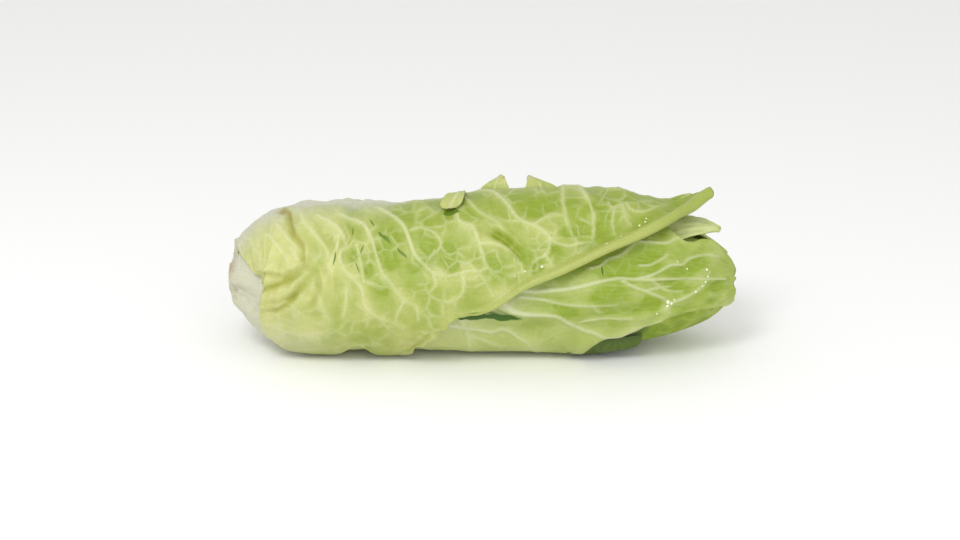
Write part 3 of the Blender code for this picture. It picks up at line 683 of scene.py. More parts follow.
def closeBase(outer, inner, fields, number, shorter=0.0):
    # the stalk end of a leaf goes on round the stem and ends beside its cut
    count = base["rows"]
    phi = np.radians(np.linspace(90, 0, count + 1)[:-1])[:, None]

    def turned(points, thinner):
        x, y, z = points[0].T
        radius = np.hypot(y, z)
        corner = shorter * smoothStep(base["cornerFrom"], base["cornerTo"], np.arctan2(z, -y))
        wander = base["wander"] * np.sin(3 * np.arctan2(z, y) + number)
        end = np.minimum(base["end"] + corner + wander, x - 0.2)
        last = base["closest"] + base["share"] * (radius + thinner - base["closest"]) - thinner
        r = radius - (radius - last) * (1 - np.cos(phi))
        return np.stack([x - (x - end) * np.sin(phi), y * r / radius, z * r / radius], -1)

    thick = np.hypot(*outer[0].T[1:]) - np.hypot(*inner[0].T[1:])
    outer = np.vstack([turned(outer, 0 * thick), outer])
    inner = np.vstack([turned(inner, thick), inner])
    for points in (outer, inner):
        bulge = np.sin(np.arctan2(points[..., 2], points[..., 1])) ** 2
        near = np.clip(1 - points[..., 0] / base["bulgeReach"], 0, 1)
        points[..., 0] += base["bulge"] * bulge * near**1.5
    fields = {key: np.concatenate([np.repeat(field[:1], count, 0), field]) for key, field in fields.items()}
    fields["leafPlace"][:count, :, 0] -= 0.9 * np.arange(count, 0, -1)[:, None]
    fields["relief"][:count] *= 0.3
    fields["loose"][:count] *= 0.3
    fields["white"][:count] = np.maximum(fields["white"][:count], 0.9)
    turn = np.degrees(np.arctan2(outer[4, :, 2], -outer[4, :, 1]))
    scar = bell(turn, base["scarTurn"], base["scarWidth"]) + 0.3 * (0.5 + 0.5 * np.sin(turn / 9 + number))
    brown = fields["brown"][: base["scarRows"]]   # beside the cut
    brown[:] = np.maximum(brown, np.clip(scar, 0, 1) * np.linspace(0.9, 0, base["scarRows"])[:, None])
    return outer, inner, fields


def closedSheet(name, outer, inner, fields, material):
    # one closed sheet from two grids of points, lifted to the floor where it would pass it
    lift = np.maximum(-head["floorDepth"] - outer[..., 2], 0)
    outer[..., 2] += lift
    inner[..., 2] = np.maximum(inner[..., 2] + head["innerLift"] * lift, -head["floorDepth"])
    outward = np.cross(np.gradient(outer, axis=0), np.gradient(outer, axis=1))
    outward /= np.maximum(np.linalg.norm(outward, axis=2, keepdims=True), 1e-9)
    if np.sum(outward * (outer - inner)) < 0:
        outward = -outward
    rows, columns = outer.shape[:2]
    count = rows * columns
    corner = np.arange(count).reshape(rows, columns)
    face = np.stack([corner[:-1, :-1], corner[:-1, 1:], corner[1:, 1:], corner[1:, :-1]], -1).reshape(-1, 4)
    # a face is split from its first corner, so it starts at the diagonal that runs along a vein or a fold
    strength, flat = (fields["vein"] + fields["deep"] + 0.6 * fields["relief"]).ravel(), outer.reshape(-1, 3)
    first, second = (np.abs(strength[face[:, a]] - strength[face[:, a + 2]])
                     + 0.01 * np.linalg.norm(flat[face[:, a]] - flat[face[:, a + 2]], axis=1) for a in (0, 1))
    face = np.where((first > second)[:, None], np.roll(face, -1, axis=1), face)
    edge = np.concatenate([corner[0, :-1], corner[:-1, -1], corner[-1, :0:-1], corner[:0:-1, 0]])
    following = np.roll(edge, -1)
    rim = np.stack([following, edge, edge + count, following + count], -1)
    faces = np.concatenate([face, face[:, [0, 3, 2, 1]] + count, rim])
    points = np.concatenate([outer.reshape(-1, 3), inner.reshape(-1, 3)])
    twice = {key: np.concatenate([values.reshape(count, -1).squeeze()] * 2) for key, values in fields.items()}
    twice["outward"] = np.concatenate([outward.reshape(-1, 3)] * 2)
    return newPiece(name, points, faces, material, twice)


# Veins and folds, as lines of (s, angle) on the leaf

def lineDistance(grid, points, reach, wide):
    # the distance in mm from the leaf's points to a smooth line, and how far along the line they are
    line = smoothRows(points, np.linspace(0, 1, 4 * (len(points) - 1) + 1))
    lineS, lineAngle = line[:, 0], np.radians(line[:, 1])
    s, angle = grid["s"], grid["angle"]
    side = wide / 30
    near = (s > lineS.min() - wide) & (s < lineS.max() + wide)
    near &= (angle > lineAngle.min() - side) & (angle < lineAngle.max() + side)
    best, along = np.full(s.shape, 99.0), np.zeros(s.shape)
    if not near.any():
        return best, along
    vs, va, vr = s[near], angle[near], reach[near]
    near1, along1 = best[near], along[near]
    for k in range(len(line) - 1):
        dx, dy = lineS[k + 1] - lineS[k], (lineAngle[k + 1] - lineAngle[k]) * vr
        px, py = vs - lineS[k], (va - lineAngle[k]) * vr
        t = np.clip((px * dx + py * dy) / (dx * dx + dy * dy + 1e-9), 0, 1)
        gone = np.hypot(px - t * dx, py - t * dy)
        closer = gone < near1
        near1 = np.where(closer, gone, near1)
        along1 = np.where(closer, (k + t) / (len(line) - 1), along1)
    best[near], along[near] = near1, along1
    return best, along


def raiseTo(fields, key, value):
    fields[key] = np.maximum(fields[key], value)


vein = {"height": 0.42, "taper": 0.45, "narrowest": 0.85}   # of a vein 1 mm wide, and what is left at its end


def addVeins(grid, fields, reach, lines):
    for width, points in lines:
        gone, along = lineDistance(grid, points, reach, 2.5 * width)
        half = np.maximum(width / 2 * (1 - (1 - vein["taper"]) * along), vein["narrowest"])
        profile = np.exp(-((gone / half) ** 2) * 0.8)
        faded = min(1, 0.42 + 0.19 * width) * (1 - 0.45 * along)
        raiseTo(fields, "relief", vein["height"] * width**0.7 * bell(gone, 0, 1.3 * half + 0.3))
        raiseTo(fields, "halo", min(1, 0.3 + 0.3 * width) * bell(gone, 0, 1.7 * width))
        raiseTo(fields, "vein", smoothStep(0.15, 0.9, profile) * faded)


def addValley(grid, fields, reach, points, width, depth, dark):
    # a pleat's dip, with a low swell beside it and painted shade laid into the dip
    gone, along = lineDistance(grid, points, reach, 4 * width)
    ends = np.sin(math.pi * np.clip(along, 0.06, 0.94)) ** 0.5 * (gone < 90)
    profile = bell(gone, 0, width) * ends
    fields["fold"] += depth * (0.45 * bell(gone, 2 * width, width) * ends - profile)
    raiseTo(fields, "deep", np.clip(1.2 * dark * profile**1.6, 0, 1))


def addHollows(grid, fields, reach, spots, green=0.75):
    # sunken, greener spots between the veins, or with a negative depth a pale bump; the extra green in a dip
    # is partly the leaf's own green and partly painted shade, and the paleness on a bump is painted highlight
    for s, angle, size, depth in spots:
        gone = np.hypot(grid["s"] - s, (grid["angle"] - math.radians(angle)) * reach)
        profile = bell(gone, 0, size)
        fields["fold"] -= depth * profile
        fields["green"] += green * np.sign(depth) * profile


def addWrinkles(grid, fields, size, amount, seed, green):
    # pleats that run along the side veins, greener in their dips
    share = np.abs(grid["across"]) + 9 * (grid["across"] < 0)
    height = softNoise(grid["vein"] * size, share * 4.5, seed)
    height = height + 0.45 * softNoise(grid["vein"] * size * 2.2, share * 8, seed + 1)
    fields["fold"] += amount * height
    fields["green"] -= green * height


def leafPoint(rows, vein, across):
    mid, side = smoothRows(rows, [vein / (len(rows) - 1)])[0], abs(across)
    edgeS, edgeAngle = (mid[2], mid[3]) if across >= 0 else (mid[4], mid[5])
    return mid[0] + side * (edgeS - mid[0]), mid[1] + side * (edgeAngle - mid[1])


def grownVeins(rows, side, seed, step=1.0, width=1.9):
    # side veins from the midrib to the margin with branches that meet the next one, by a fixed rule
    dice = np.random.default_rng(seed)
    last, lines, start = len(rows) - 1.3, [], 0.4
    while start < last:
        phase, bend = dice.uniform(0, 6.3), dice.uniform(0.1, 0.3)
        run = [(min(start + bend * math.sin(5 * a + phase), last), a) for a in np.linspace(0.04, 0.93, 9)]
        lines.append((width * dice.uniform(0.8, 1.15), [leafPoint(rows, v, side * a) for v, a in run]))
        for k in (2, 4, 6):
            at, toward = run[k], dice.choice((-1, 1))
            gone = step * dice.uniform(0.45, 0.6) * toward
            branch = [at, (at[0] + 0.45 * gone, at[1] + 0.05), (at[0] + gone, at[1] + dice.uniform(0.1, 0.2))]
            branch = [(min(max(v, 0), last), min(a, 0.97)) for v, a in branch]
            lines.append((width * 0.6, [leafPoint(rows, v, side * a) for v, a in branch]))
        start += step * dice.uniform(0.85, 1.15)
    return lines


def startFields(grid):
    keys = ("relief", "vein", "white", "green", "deep", "brown", "smooth", "fold", "halo")
    return {key: np.zeros(grid["s"].shape) for key in keys}


def whiteRib(grid, width, longer, fadeFrom, fadeTo):
    # 1 at the midrib, narrower and fading towards the tip
    along = grid["along"]
    return bell(grid["fromRib"], 0, width * (longer - along)) * (1 - smoothStep(fadeFrom, fadeTo, along))


def nearSpot(s, angle, spot, power=2):
    # 1 at a spot of the leaf, fading to 0 past its reach
    return np.exp(-(((s - spot[0]) / spot[2]) ** power) - ((angle - spot[1]) / spot[3]) ** power)


def within(value, ends):
    # 1 between the two ends, each given by where it starts and where it stops
    (lowEnd, lowFull), (highFull, highEnd) = ends
    return smoothStep(lowEnd, lowFull, value) * (1 - smoothStep(highFull, highEnd, value))


def stepUp(value, soft, reach):
    # a soft step up at 0 that runs out again over its reach
    return smoothStep(-soft, soft, value) * np.exp(-np.maximum(value, 0) / reach)


margins = {"brown": 0.35, "brownFrom": 0.965, "haloPale": 0.35}


def finishFields(grid, fields, number, loose=1.0):
    share = np.abs(grid["across"])
    fields["green"] = np.clip(fields["green"] - margins["haloPale"] * fields.pop("halo"), -0.3, 1.2)
    dry = 0.5 + 0.5 * np.sin(9 * grid["vein"] + 3 * np.sin(4 * grid["vein"]) + number)
    raiseTo(fields, "brown", margins["brown"] * dry**3 * smoothStep(margins["brownFrom"], 1.0, share))
    fields["relief"] = (fields["relief"] * (1 - share**12) + fields.pop("fold")) * grid["free"]
    fields["loose"] = loose * grid["free"] * (1 - share**6)
    fields["leafPlace"] = np.stack([grid["s"], grid["angle"] * head["placeRadius"], 0 * grid["s"]], -1)
    return fields


def fineHeights(leaf, grid):
    under = heights.readSmooth(leaf["below"], grid["s"], grid["angle"]) + head["gap"] + grid["off"]
    share = np.abs(grid["across"])
    blade, edge = grid["thickness"], head["margin"]
    over = under + blade - 0.6 * (head["blade"] - edge) * share**14
    return over, over - (edge + (blade - edge) * (1 - share**8))


def addRelief(piece, material, cell, sizes):
    runNodes(piece, leafRelief, {
        "Cell Size": cell, "Cell Depth": sizes.get("cellDepth", 0.3),
        "Wave Size": sizes.get("waveSize", 25.0), "Wave Height": sizes.get("waveHeight", 1.2),
        "Seed": float(sizes["seed"]), "Material": material,
    })


def dressPiece(piece, body, node=None):
    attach(piece, body)
    if node:
        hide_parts(node)


# The wrapper leaf, with its rolled margin

wrapper = {
    "perVein": 16, "front": 98, "back": 26, "rollCells": 14,
    "rollFrom": 11.5, "rollTo": 20.35, "rollIn": 3, "rollOut": 0.35,   # in side veins
    "rollTurn": 235.0, "rollFlat": 1.6, "rollBand": (1.2, 2.3),        # the band is in roll radii
    "rise": (0.2, 2.1), "dip": 0.22, "dipAt": 2.9, "dipWidth": 0.9,    # beside the roll, in roll radii
    "rollRadius": [(11.5, 1.9), (15, 2.4), (17, 2.7), (18.5, 3.3), (19.4, 3.8), (20, 3.2)],
    "cellDepth": 0.35, "waveSize": 24.0, "waveHeight": 2.0, "seed": 3.0,
    "wrinkles": (1.5, 1.0, 21, 0.16),   # how close, how high, seed, how green
    "green": [(0, 0.0, 0.0), (30, 0.1, -0.15), (55, 0.5, 0.2), (75, 0.75, 0.55), (120, 0.85, 0.6),
              (160, 0.75, 0.5), (200, 0.9, 0.8), (275, 0.95, 0.85)],
    "veins": [
        (2.6, [(150, 101), (157, 92), (162, 82), (167, 72), (171, 64), (177, 59), (182, 57), (187, 52),
               (191, 47), (194, 44), (201, 42), (207, 44), (212, 45)]),
        (1.4, [(182, 58), (187, 62), (191, 65), (197, 64)]),
        (2.2, [(136, 77), (137, 67), (139, 61), (145, 58), (148, 52), (150, 45), (156, 44), (162, 42),
               (167, 39), (171, 34), (174, 27), (175, 23)]),
        (1.5, [(150, 44), (152, 35), (154, 28), (158, 22), (161, 19)]),
        (1.5, [(199, 101), (198, 78), (199, 65), (201, 55), (204, 47), (206, 44)]),
        (2.0, [(206, 105), (210, 81), (213, 70), (214, 60), (214, 52), (213, 45)]),
        (2.8, [(90, 88), (96, 77), (102, 68), (106, 62), (110, 49), (113, 38), (118, 30), (123, 24),
               (130, 21), (137, 22), (144, 24), (150, 24), (154, 26)]),
        (2.4, [(71, 71), (82, 64), (88, 51), (91, 37), (95, 22), (100, 14), (105, 5), (107, 3)]),
        (1.3, [(107, 3), (103, -7), (101, -17)]),
        (1.3, [(107, 3), (114, -2), (115, -12)]),
        (2.2, [(58, 70), (67, 61), (72, 54), (74, 45), (71, 40), (71, 32), (74, 24), (80, 16), (83, 10),
               (84, 1), (88, -6), (93, -11), (99, -14), (106, -19)]),
        (1.6, [(80, 45), (81, 37), (83, 27), (84, 17)]),
        (1.2, [(84, 17), (91, 14), (98, 13)]),
        (1.8, [(48, 78), (52, 62), (58, 52), (63, 42), (65, 34)]),
        (1.8, [(70, 56), (69, 45), (67, 36), (65, 27), (63, 17)]),
        (1.5, [(57, 12), (60, 1), (63, -12)]),
        (1.4, [(74, 10), (74, 1), (72, -10)]),
        (1.4, [(140, 90), (147, 73), (155, 64), (160, 60), (163, 54)]),
        (1.3, [(190, 47), (190, 41), (188, 35), (183, 32), (180, 28), (179, 22)]),
        (1.3, [(187, 35), (190, 31), (191, 27)]),
        (1.4, [(232, 77), (234, 71), (239, 70), (244, 74), (249, 83)]),
        (1.4, [(222, 77), (224, 71), (229, 75), (230, 69), (231, 64), (234, 59)]),
        (1.2, [(225, 70), (224, 59), (225, 52)]),
        (1.7, [(36, 70), (43, 52), (49, 42), (52, 37)]),
        (1.6, [(32, 61), (37, 47), (42, 36), (44, 27)]),
        (1.4, [(44, 44), (48, 35), (50, 30)]),
        (1.3, [(16, 82), (28, 44), (31, 34)]),
        (1.2, [(111, 58), (117, 59), (124, 54), (128, 46), (126, 40), (121, 36), (114, 35)]),
        (1.1, [(128, 43), (132, 37), (137, 38), (141, 34)]),
        (1.1, [(124, 40), (119, 30)]),
        (1.2, [(123, 24), (125, 15), (122, 10)]),
        (1.2, [(140, 22), (141, 14), (139, 7), (133, 4)]),
    ],
    "pleats": [  # line, width, depth, how much olive painted shade darkens the dip
        ([(52, 26), (47, 21), (40, 15), (33, 10), (29, 6)], 1.8, 1.9, 0.75),
        ([(56, 22), (50, 12), (44, 1), (38, -8), (30, -14)], 1.7, 1.9, 0.65),
        ([(58, 24), (59, 13), (57, 1), (52, -8)], 1.5, 1.5, 0.4),
        ([(52, 12), (45, 4), (37, -1), (31, -5)], 1.2, 1.2, 0.35),
        ([(60, 30), (64, 20), (65, 8)], 1.3, 1.1, 0.25),
        ([(59, 61), (64, 50), (67, 42), (66, 32), (64, 23)], 1.8, 1.2, 0.1),
        ([(71, 62), (74, 55), (74, 49), (70, 40)], 1.3, 1.0, 0.15),
        ([(76, 63), (77, 54), (74, 45), (71, 41)], 1.2, 0.9, 0.2),
        ([(152, 55), (158, 52), (164, 47), (169, 41), (173, 34)], 2.1, 2.6, 0.2),
        ([(100, -62), (105, -51), (110, -43), (116, -34), (121, -25), (126, -17)], 1.4, 0.9, 0.3),
    ],
    "hollows": [  # s, angle, size, depth: sunken green spots, and pale bumps where the depth is negative
        (120, 45, 5.0, 0.9), (131, 41, 4.5, 0.8), (122, 34, 5.0, 0.9), (114, 29, 4.5, 0.8),
        (175, 35, 4.0, 1.0), (194, 40, 4.0, 1.2), (183, 26, 4.5, 1.1), (201, 52, 4.0, 0.9),
        (207, 53, 3.5, 0.9), (213, 71, 4.5, 0.8), (220, 53, 5.0, 0.9), (212, 42, 3.5, 0.9),
        (134, 30, 6.0, 0.4), (107, 104, 6.0, -1.2), (112, 97, 5.0, -0.6), (202, 98, 4.5, -1.4),
        (225, 96, 5.0, -1.2), (216, 90, 6.0, 0.8), (160, 22, 7.0, 0.4), (92, 40, 5.0, 0.9),
        (98, 30, 5.5, 1.0), (86, 25, 4.5, 0.8), (79, 36, 4.0, 0.6), (95, 12, 5.0, 0.6), (104, 78, 6.0, 0.5),
        (145, 90, 6.0, 0.6), (172, 85, 7.0, 0.6), (185, 72, 6.0, 0.6), (232, 86, 5.0, 0.5),
        (160, 50, 2.6, 0.2), (166, 45, 2.6, 0.2), (171, 38, 2.8, 0.2),
    ],
    "slits": [   # from, to, width of slits painted with the dark shadow of a tear, not cut: the first is the hole behind the first torn flap
        ((128.5, 71.5), (139, 70.5), 4.2), ((86.5, 68), (89.5, 61), 1.2), ((91.5, 57), (99.5, 46), 2.4),
        ((102.5, 44), (108.5, 35), 2.0), ((67, 28), (68.5, 40), 1.1), ((79, 32), (82, 22), 0.8),
        ((82, 38), (84, 46), 0.8), ((77, 53), (77.5, 61), 0.8),
    ],
    "crease": [(38, 92), (43, 79), (45, 63), (47, 54), (51, 45), (52, 37), (52, 29)],
    "creaseHeight": 2.6, "creaseReach": 16,
    "creaseEnds": ((25, 33), (95, 112)),   # it rises and fades between these angles
    "ear": [(20, 37), (26, 26), (33, 24), (41, 22), (46, 26), (52, 29)],
    "earHeight": 2.2, "earReach": 9,
    "earEnds": ((22, 32), (50, 56)),       # in s
    "ribWidth": 17,
    "spots": {   # s, angle, how far they reach along and, in degrees, round the head
        "pleatsLifted": (43, 5, 14, 24), "tornPoint": (110, -38, 15, 16), "dryNotch": (125, -8, 9, 9),
        "hole": (133.5, 70, 6.0, 4.0), "paintedLightLow": (42, -42, 24, 20),
    },
    "teeth": {"middle": 10.9, "reach": 0.9, "along": 0.7, "round": 1.1},   # of the torn point: veins, mm
    "baseShorter": 4.5,
}


def wrapperFields(grid, reach, onRoll):
    fields = startFields(grid)
    s, angle, spots = grid["s"], np.degrees(grid["angle"]), wrapper["spots"]
    table = np.array(wrapper["green"])
    low = smoothStep(75, 10, angle)
    upper, lower = (np.interp(s, table[:, 0], column) for column in table[:, 1:].T)
    fields["green"] = upper * (1 - low) + lower * low
    addWrinkles(grid, fields, *wrapper["wrinkles"])
    addHollows(grid, fields, reach, wrapper["hollows"])
    addVeins(grid, fields, reach, wrapper["veins"])
    addVeins(grid, fields, reach, grownVeins(leaves["leaf_wrapper"]["rows"], -1, 11))
    for pleat in wrapper["pleats"]:
        addValley(grid, fields, reach, *pleat)
    fields["fold"] += 1.5 * nearSpot(s, angle, spots["pleatsLifted"])
    # the crease at which the leaf folds over its own stalk end, dried brown at its top
    crease = smoothRows(wrapper["crease"], np.linspace(0, 1, 60))[::-1]
    past = s - np.interp(angle, crease[:, 1], crease[:, 0])
    here = within(angle, wrapper["creaseEnds"])
    fields["fold"] += here * wrapper["creaseHeight"] * stepUp(past, 0.9, wrapper["creaseReach"])
    fields["fold"] -= here * 0.7 * bell(past, -2.0, 2.0)
    dried = 0.3 + 0.45 * smoothStep(45, 75, angle)
    raiseTo(fields, "brown", here * dried * bell(past, -0.3, 1.1))
    # painted shade just below the crease's step
    raiseTo(fields, "deep", here * 0.5 * bell(past, -1.8, 1.5))
    # the ear at the leaf's base, whose edge runs on over the pleated part
    ear = np.array(wrapper["ear"], float)
    above = (angle - np.interp(s, ear[:, 0], ear[:, 1])) * reach * math.pi / 180
    here = within(s, wrapper["earEnds"])
    fields["fold"] += here * wrapper["earHeight"] * stepUp(above, 0.8, wrapper["earReach"])
    # painted shade under the raised edge of the ear
    raiseTo(fields, "deep", here * 0.45 * bell(above, -1.6, 1.3))
    # the torn point below, a jagged dried notch in the margin, and the hole behind the first torn flap
    point = nearSpot(s, angle, spots["tornPoint"])
    fields["green"] -= 0.4 * point
    raiseTo(fields, "brown", 0.3 * point * np.clip(0.3 + softNoise(s / 4, angle / 3, 5), 0, 1))
    atMargin = (grid["across"] > 0.5) * smoothStep(0.8, 0.97, grid["across"])
    notch = nearSpot(s, angle, spots["dryNotch"]) * atMargin
    raiseTo(fields, "brown", 0.3 * notch * np.clip(0.5 + softNoise(s / 3, angle / 4, 8), 0, 1))
    fields["fold"] -= 0.5 * nearSpot(s, angle, spots["hole"], 4)
    rib = whiteRib(grid, wrapper["ribWidth"], 1.35, 0.45, 1.0)
    topLeft = smoothStep(130, 35, s) * smoothStep(50, 100, angle)
    # painted light: the spot low on the front is made paler to make up for the shade the lamps leave there;
    # the rib and the top left are the leaf's own white
    fields["white"] = np.clip(0.9 * rib + 0.6 * topLeft + 0.35 * nearSpot(s, angle, spots["paintedLightLow"]), 0, 1)
    for key in ("vein", "relief", "fold", "halo"):
        fields[key] = fields[key] * (1 - onRoll)
    fields["green"] += (0.5 + 0.2 * smoothStep(235, 265, s) - fields["green"]) * onRoll
    fields["smooth"] = onRoll
    return finishFields(grid, fields, 1, loose=1 - 0.85 * onRoll)


def makeWrapper():
    leaf = leaves["leaf_wrapper"]
    grid = leafGrid(leaf["rows"], wrapper["perVein"], wrapper["front"], wrapper["back"], leaf["rib"], True)
    grid["off"] = grid["off"] * (0.25 + 0.75 * smoothStep(4.5, 7.5, grid["vein"]))
    # the lower margin is torn into small teeth round its pointed tongue
    sizes = wrapper["teeth"]
    teeth = np.sin(grid["vein"] * 17.5) + 0.7 * np.sin(grid["vein"] * 10.3 + 1)
    teeth = teeth * bell(grid["vein"], sizes["middle"], sizes["reach"])
    teeth = teeth * smoothStep(0.93, 1.0, grid["across"])
    grid["s"] = grid["s"] + sizes["along"] * teeth
    grid["angle"] = grid["angle"] - sizes["round"] * teeth / head["placeRadius"]
    vein = grid["vein"][:, :1]
    rolled = np.clip((vein - wrapper["rollFrom"]) / wrapper["rollIn"], 0, 1)
    rolled = rolled * np.clip((wrapper["rollTo"] - vein) / wrapper["rollOut"], 0, 1)
    table = np.array(wrapper["rollRadius"])
    radius = rolled * np.interp(vein, table[:, 0], table[:, 1])
    # how far each point is from the front margin, in mm: the leaf rises to the roll over twice its radius
    steps = np.hypot(np.diff(grid["s"], axis=1), np.diff(grid["angle"], axis=1) * head["placeRadius"])
    fromMargin = np.hstack([0 * vein, np.cumsum(steps, axis=1)])
    tube = np.maximum(radius, 0.01)
    rise = 2 * radius * (1 - smoothStep(*wrapper["rise"], fromMargin / tube))
    dip = wrapper["dip"] * radius * bell(fromMargin / tube, wrapper["dipAt"], wrapper["dipWidth"])
    grid["off"] = np.maximum(grid["off"] + rise - dip, 0)
    over, under = fineHeights(leaf, grid)
    s, angle = grid["s"], grid["angle"]
    reach = np.interp(s, outline[0], outline[2]) + over
    onRoll = rolled * (1 - smoothStep(*wrapper["rollBand"], fromMargin / tube))
    # the roll: the margin goes on outwards and turns under
    outS, outRound = s[:, :1] - s[:, 3:4], (angle[:, :1] - angle[:, 3:4]) * reach[:, :1]
    span = np.hypot(outS, outRound)
    outS, outRound = outS / span, outRound / span / reach[:, :1]
    turned = np.linspace(1, 0, wrapper["rollCells"] + 1)[None, :-1]
    turns = np.radians(wrapper["rollTurn"]) * rolled * turned
    flat = wrapper["rollFlat"] * (1 - rolled) * turned
    blade = np.minimum(head["blade"] * (1 - 0.6 * turned), over[:, :1] - under[:, :1] + 0.4)

    def rollAt(turnRadius, extra):
        aside = turnRadius * np.sin(turns) + flat
        drop = radius - turnRadius * np.cos(turns) + extra
        return s[:, :1] + aside * outS, angle[:, :1] + aside * outRound, over[:, :1] - drop

    def widened(field):
        # the margin's own value goes on over the cells of the roll
        return np.hstack([np.repeat(field[:, :1], wrapper["rollCells"], 1), field])

    outer = [np.hstack([a, b]) for a, b in zip(rollAt(radius, 0), (s, angle, over))]
    thin = blade * (1 - rolled)
    rolledUnder = rollAt(np.maximum(radius - blade, 0), thin)
    inner = [np.hstack([a, b]) for a, b in zip(rolledUnder, (s, angle, under))]
    full = {key: widened(field) for key, field in grid.items()}
    full["s"], full["angle"] = outer[0], outer[1]
    across = grid["across"] * np.where(grid["across"] > 0, 0.9, 1)
    full["across"] = np.hstack([0.9 + 0.1 * turned + 0 * turns, across])
    fields = wrapperFields(full, widened(reach), widened(onRoll))
    # the pattern goes on round the roll
    fields["leafPlace"][:, : wrapper["rollCells"], 1] -= turns * radius
    material = leafMaterial("wrapperSkin", wrapper["seed"], wrapper["slits"])
    closed = closeBase(place(*outer), place(*inner), fields, 1, wrapper["baseShorter"])
    piece = closedSheet("leaf_wrapper_skin", *closed, material)
    addRelief(piece, material, finishes["wrapperSkin"]["cell"], wrapper)
    dressPiece(piece, "root", "leaf_wrapper")
    return piece, over, grid


wrapperPiece, wrapperTop, wrapperGrid = makeWrapper()
print("wrapper leaf:", len(wrapperPiece.data.polygons), "faces")


# The front leaf and the plain leaves round the heart

frontLeaf = {
    "skin": "frontSkin", "slot": "green_leaf", "perVein": 14, "front": 60, "back": 70, "ragged": 0.35,
    "hiddenTo": 150,   # in s: the side veins that start before it are hidden, and follow the rule
    "cellDepth": 0.25, "waveSize": 24.0, "waveHeight": 1.6, "seed": 17.0,
    "wrinkles": (1.3, 0.8, 33, 0.16), "hollowGreen": 0.55, "ribWidth": 9,
    "veins": [
        (2.6, [(175, 10), (183, 9), (191, 10), (199, 11), (207, 13), (213, 15), (219, 17), (228, 19),
               (237, 18), (246, 18), (255, 18), (265, 18), (273, 18), (284, 17), (290, 16)]),
        (1.8, [(212, 27), (218, 29), (223, 35), (230, 39), (236, 48), (239, 52)]),
        (1.8, [(239, 52), (246, 52), (251, 52), (256, 53), (259, 57), (264, 60)]),
        (1.4, [(240, 30), (246, 31), (253, 38), (256, 42)]),
        (1.8, [(237, 18), (245, 21), (251, 25), (258, 32), (265, 34), (268, 40), (273, 45), (280, 51),
               (286, 55)]),
        (1.8, [(230, 17), (234, 14), (238, 11), (243, 8), (248, 4), (253, 0), (256, -6), (255, -11)]),
        (1.5, [(173, 5), (185, 3), (196, 0), (204, -1), (212, -2), (219, -3), (227, -4)]),
        (1.3, [(207, -18), (212, -16), (220, -16), (230, -18), (236, -18)]),
        (3.2, [(159, 3), (165, -1), (170, -6), (177, -9), (183, -10), (190, -10), (196, -12), (202, -19),
               (209, -26), (215, -29), (222, -35), (228, -37), (233, -35), (236, -32), (240, -29),
               (244, -27), (252, -23)]),
        (3.4, [(125, -18), (134, -21), (141, -24), (149, -26), (157, -28), (163, -25), (168, -30), (173, -36),
               (179, -43), (184, -60)]),
        (1.1, [(214, -2), (218, -10)]),
        (1.3, [(256, -6), (263, -3), (268, 0), (274, 5), (278, 11), (281, 27)]),
        (1.3, [(243, 8), (251, 10), (258, 11)]),
        (1.3, [(246, 18), (250, 13), (256, 7), (264, 5)]),
    ],
    "pleats": [
        ([(134, -7), (142, -7), (150, -7), (157, -8), (164, -12), (170, -14), (174, -15)], 2.0, 1.6, 0.75),
        ([(153, -1), (160, -5), (168, -11), (173, -14)], 1.5, 0.9, 0.5),
    ],
    "hollows": [
        (240, 41, 5.0, 0.6), (232, 33, 4.0, 0.4), (251, 46, 5.0, 0.6), (262, 12, 6.0, 0.9),
        (269, 27, 5.0, 0.5), (246, -3, 5.0, 0.4), (218, 5, 5.0, 0.3), (275, 39, 4.0, 0.4),
        (200, -7, 5.0, 0.3), (256, -10, 4.0, -0.5), (284, 8, 6.0, 0.8), (236, 26, 6.0, 0.5),
        (224, 25, 5.0, 0.4), (248, 28, 5.0, 0.4), (228, 8, 4.0, 0.3),
    ],
    "slits": [((218.5, 29), (219.5, 21), 1.0), ((134, -11.5), (155, -11), 3.8),
              ((149, -8.5), (175, -16), 3.6)],
}

plainLeaves = {   # the green is from the stalk to the tip
    "leaf_under": {"skin": "underSkin", "perVein": 12, "front": 46, "back": 46, "green": (0.25, 0.75),
                   "seed": 31.0},
    "leaf_back": {"skin": "backSkin", "perVein": 20, "front": 60, "back": 60, "green": (0.12, 0.7),
                  "seed": 43.0},
    "leaf_back_low": {"skin": "backSkin", "perVein": 14, "front": 50, "back": 50, "green": (0.15, 0.7),
                      "seed": 59.0},
    "leaf_crown": {"skin": "crownSkin", "perVein": 12, "front": 44, "back": 44, "green": (0.2, 0.5),
                   "seed": 71.0},
}


def makeLeaf(name, sizes, fieldsOf):
    leaf, skin = leaves[name], sizes["skin"]
    grid = leafGrid(leaf["rows"], sizes["perVein"], sizes["front"], sizes["back"], leaf["rib"], True,
                    sizes.get("ragged", 0.3), int(sizes["seed"]))
    over, under = fineHeights(leaf, grid)
    fields = fieldsOf(name, grid, np.interp(grid["s"], outline[0], outline[2]) + over)
    material = leafMaterial(skin, sizes["seed"], sizes.get("slits", ()))
    outer, inner = (place(grid["s"], grid["angle"], level) for level in (over, under))
    piece = closedSheet(name + "_skin", *closeBase(outer, inner, fields, sizes["seed"]), material)
    addRelief(piece, material, finishes[skin]["cell"], sizes)
    dressPiece(piece, "root", name)
    print(name, len(piece.data.polygons), "faces")


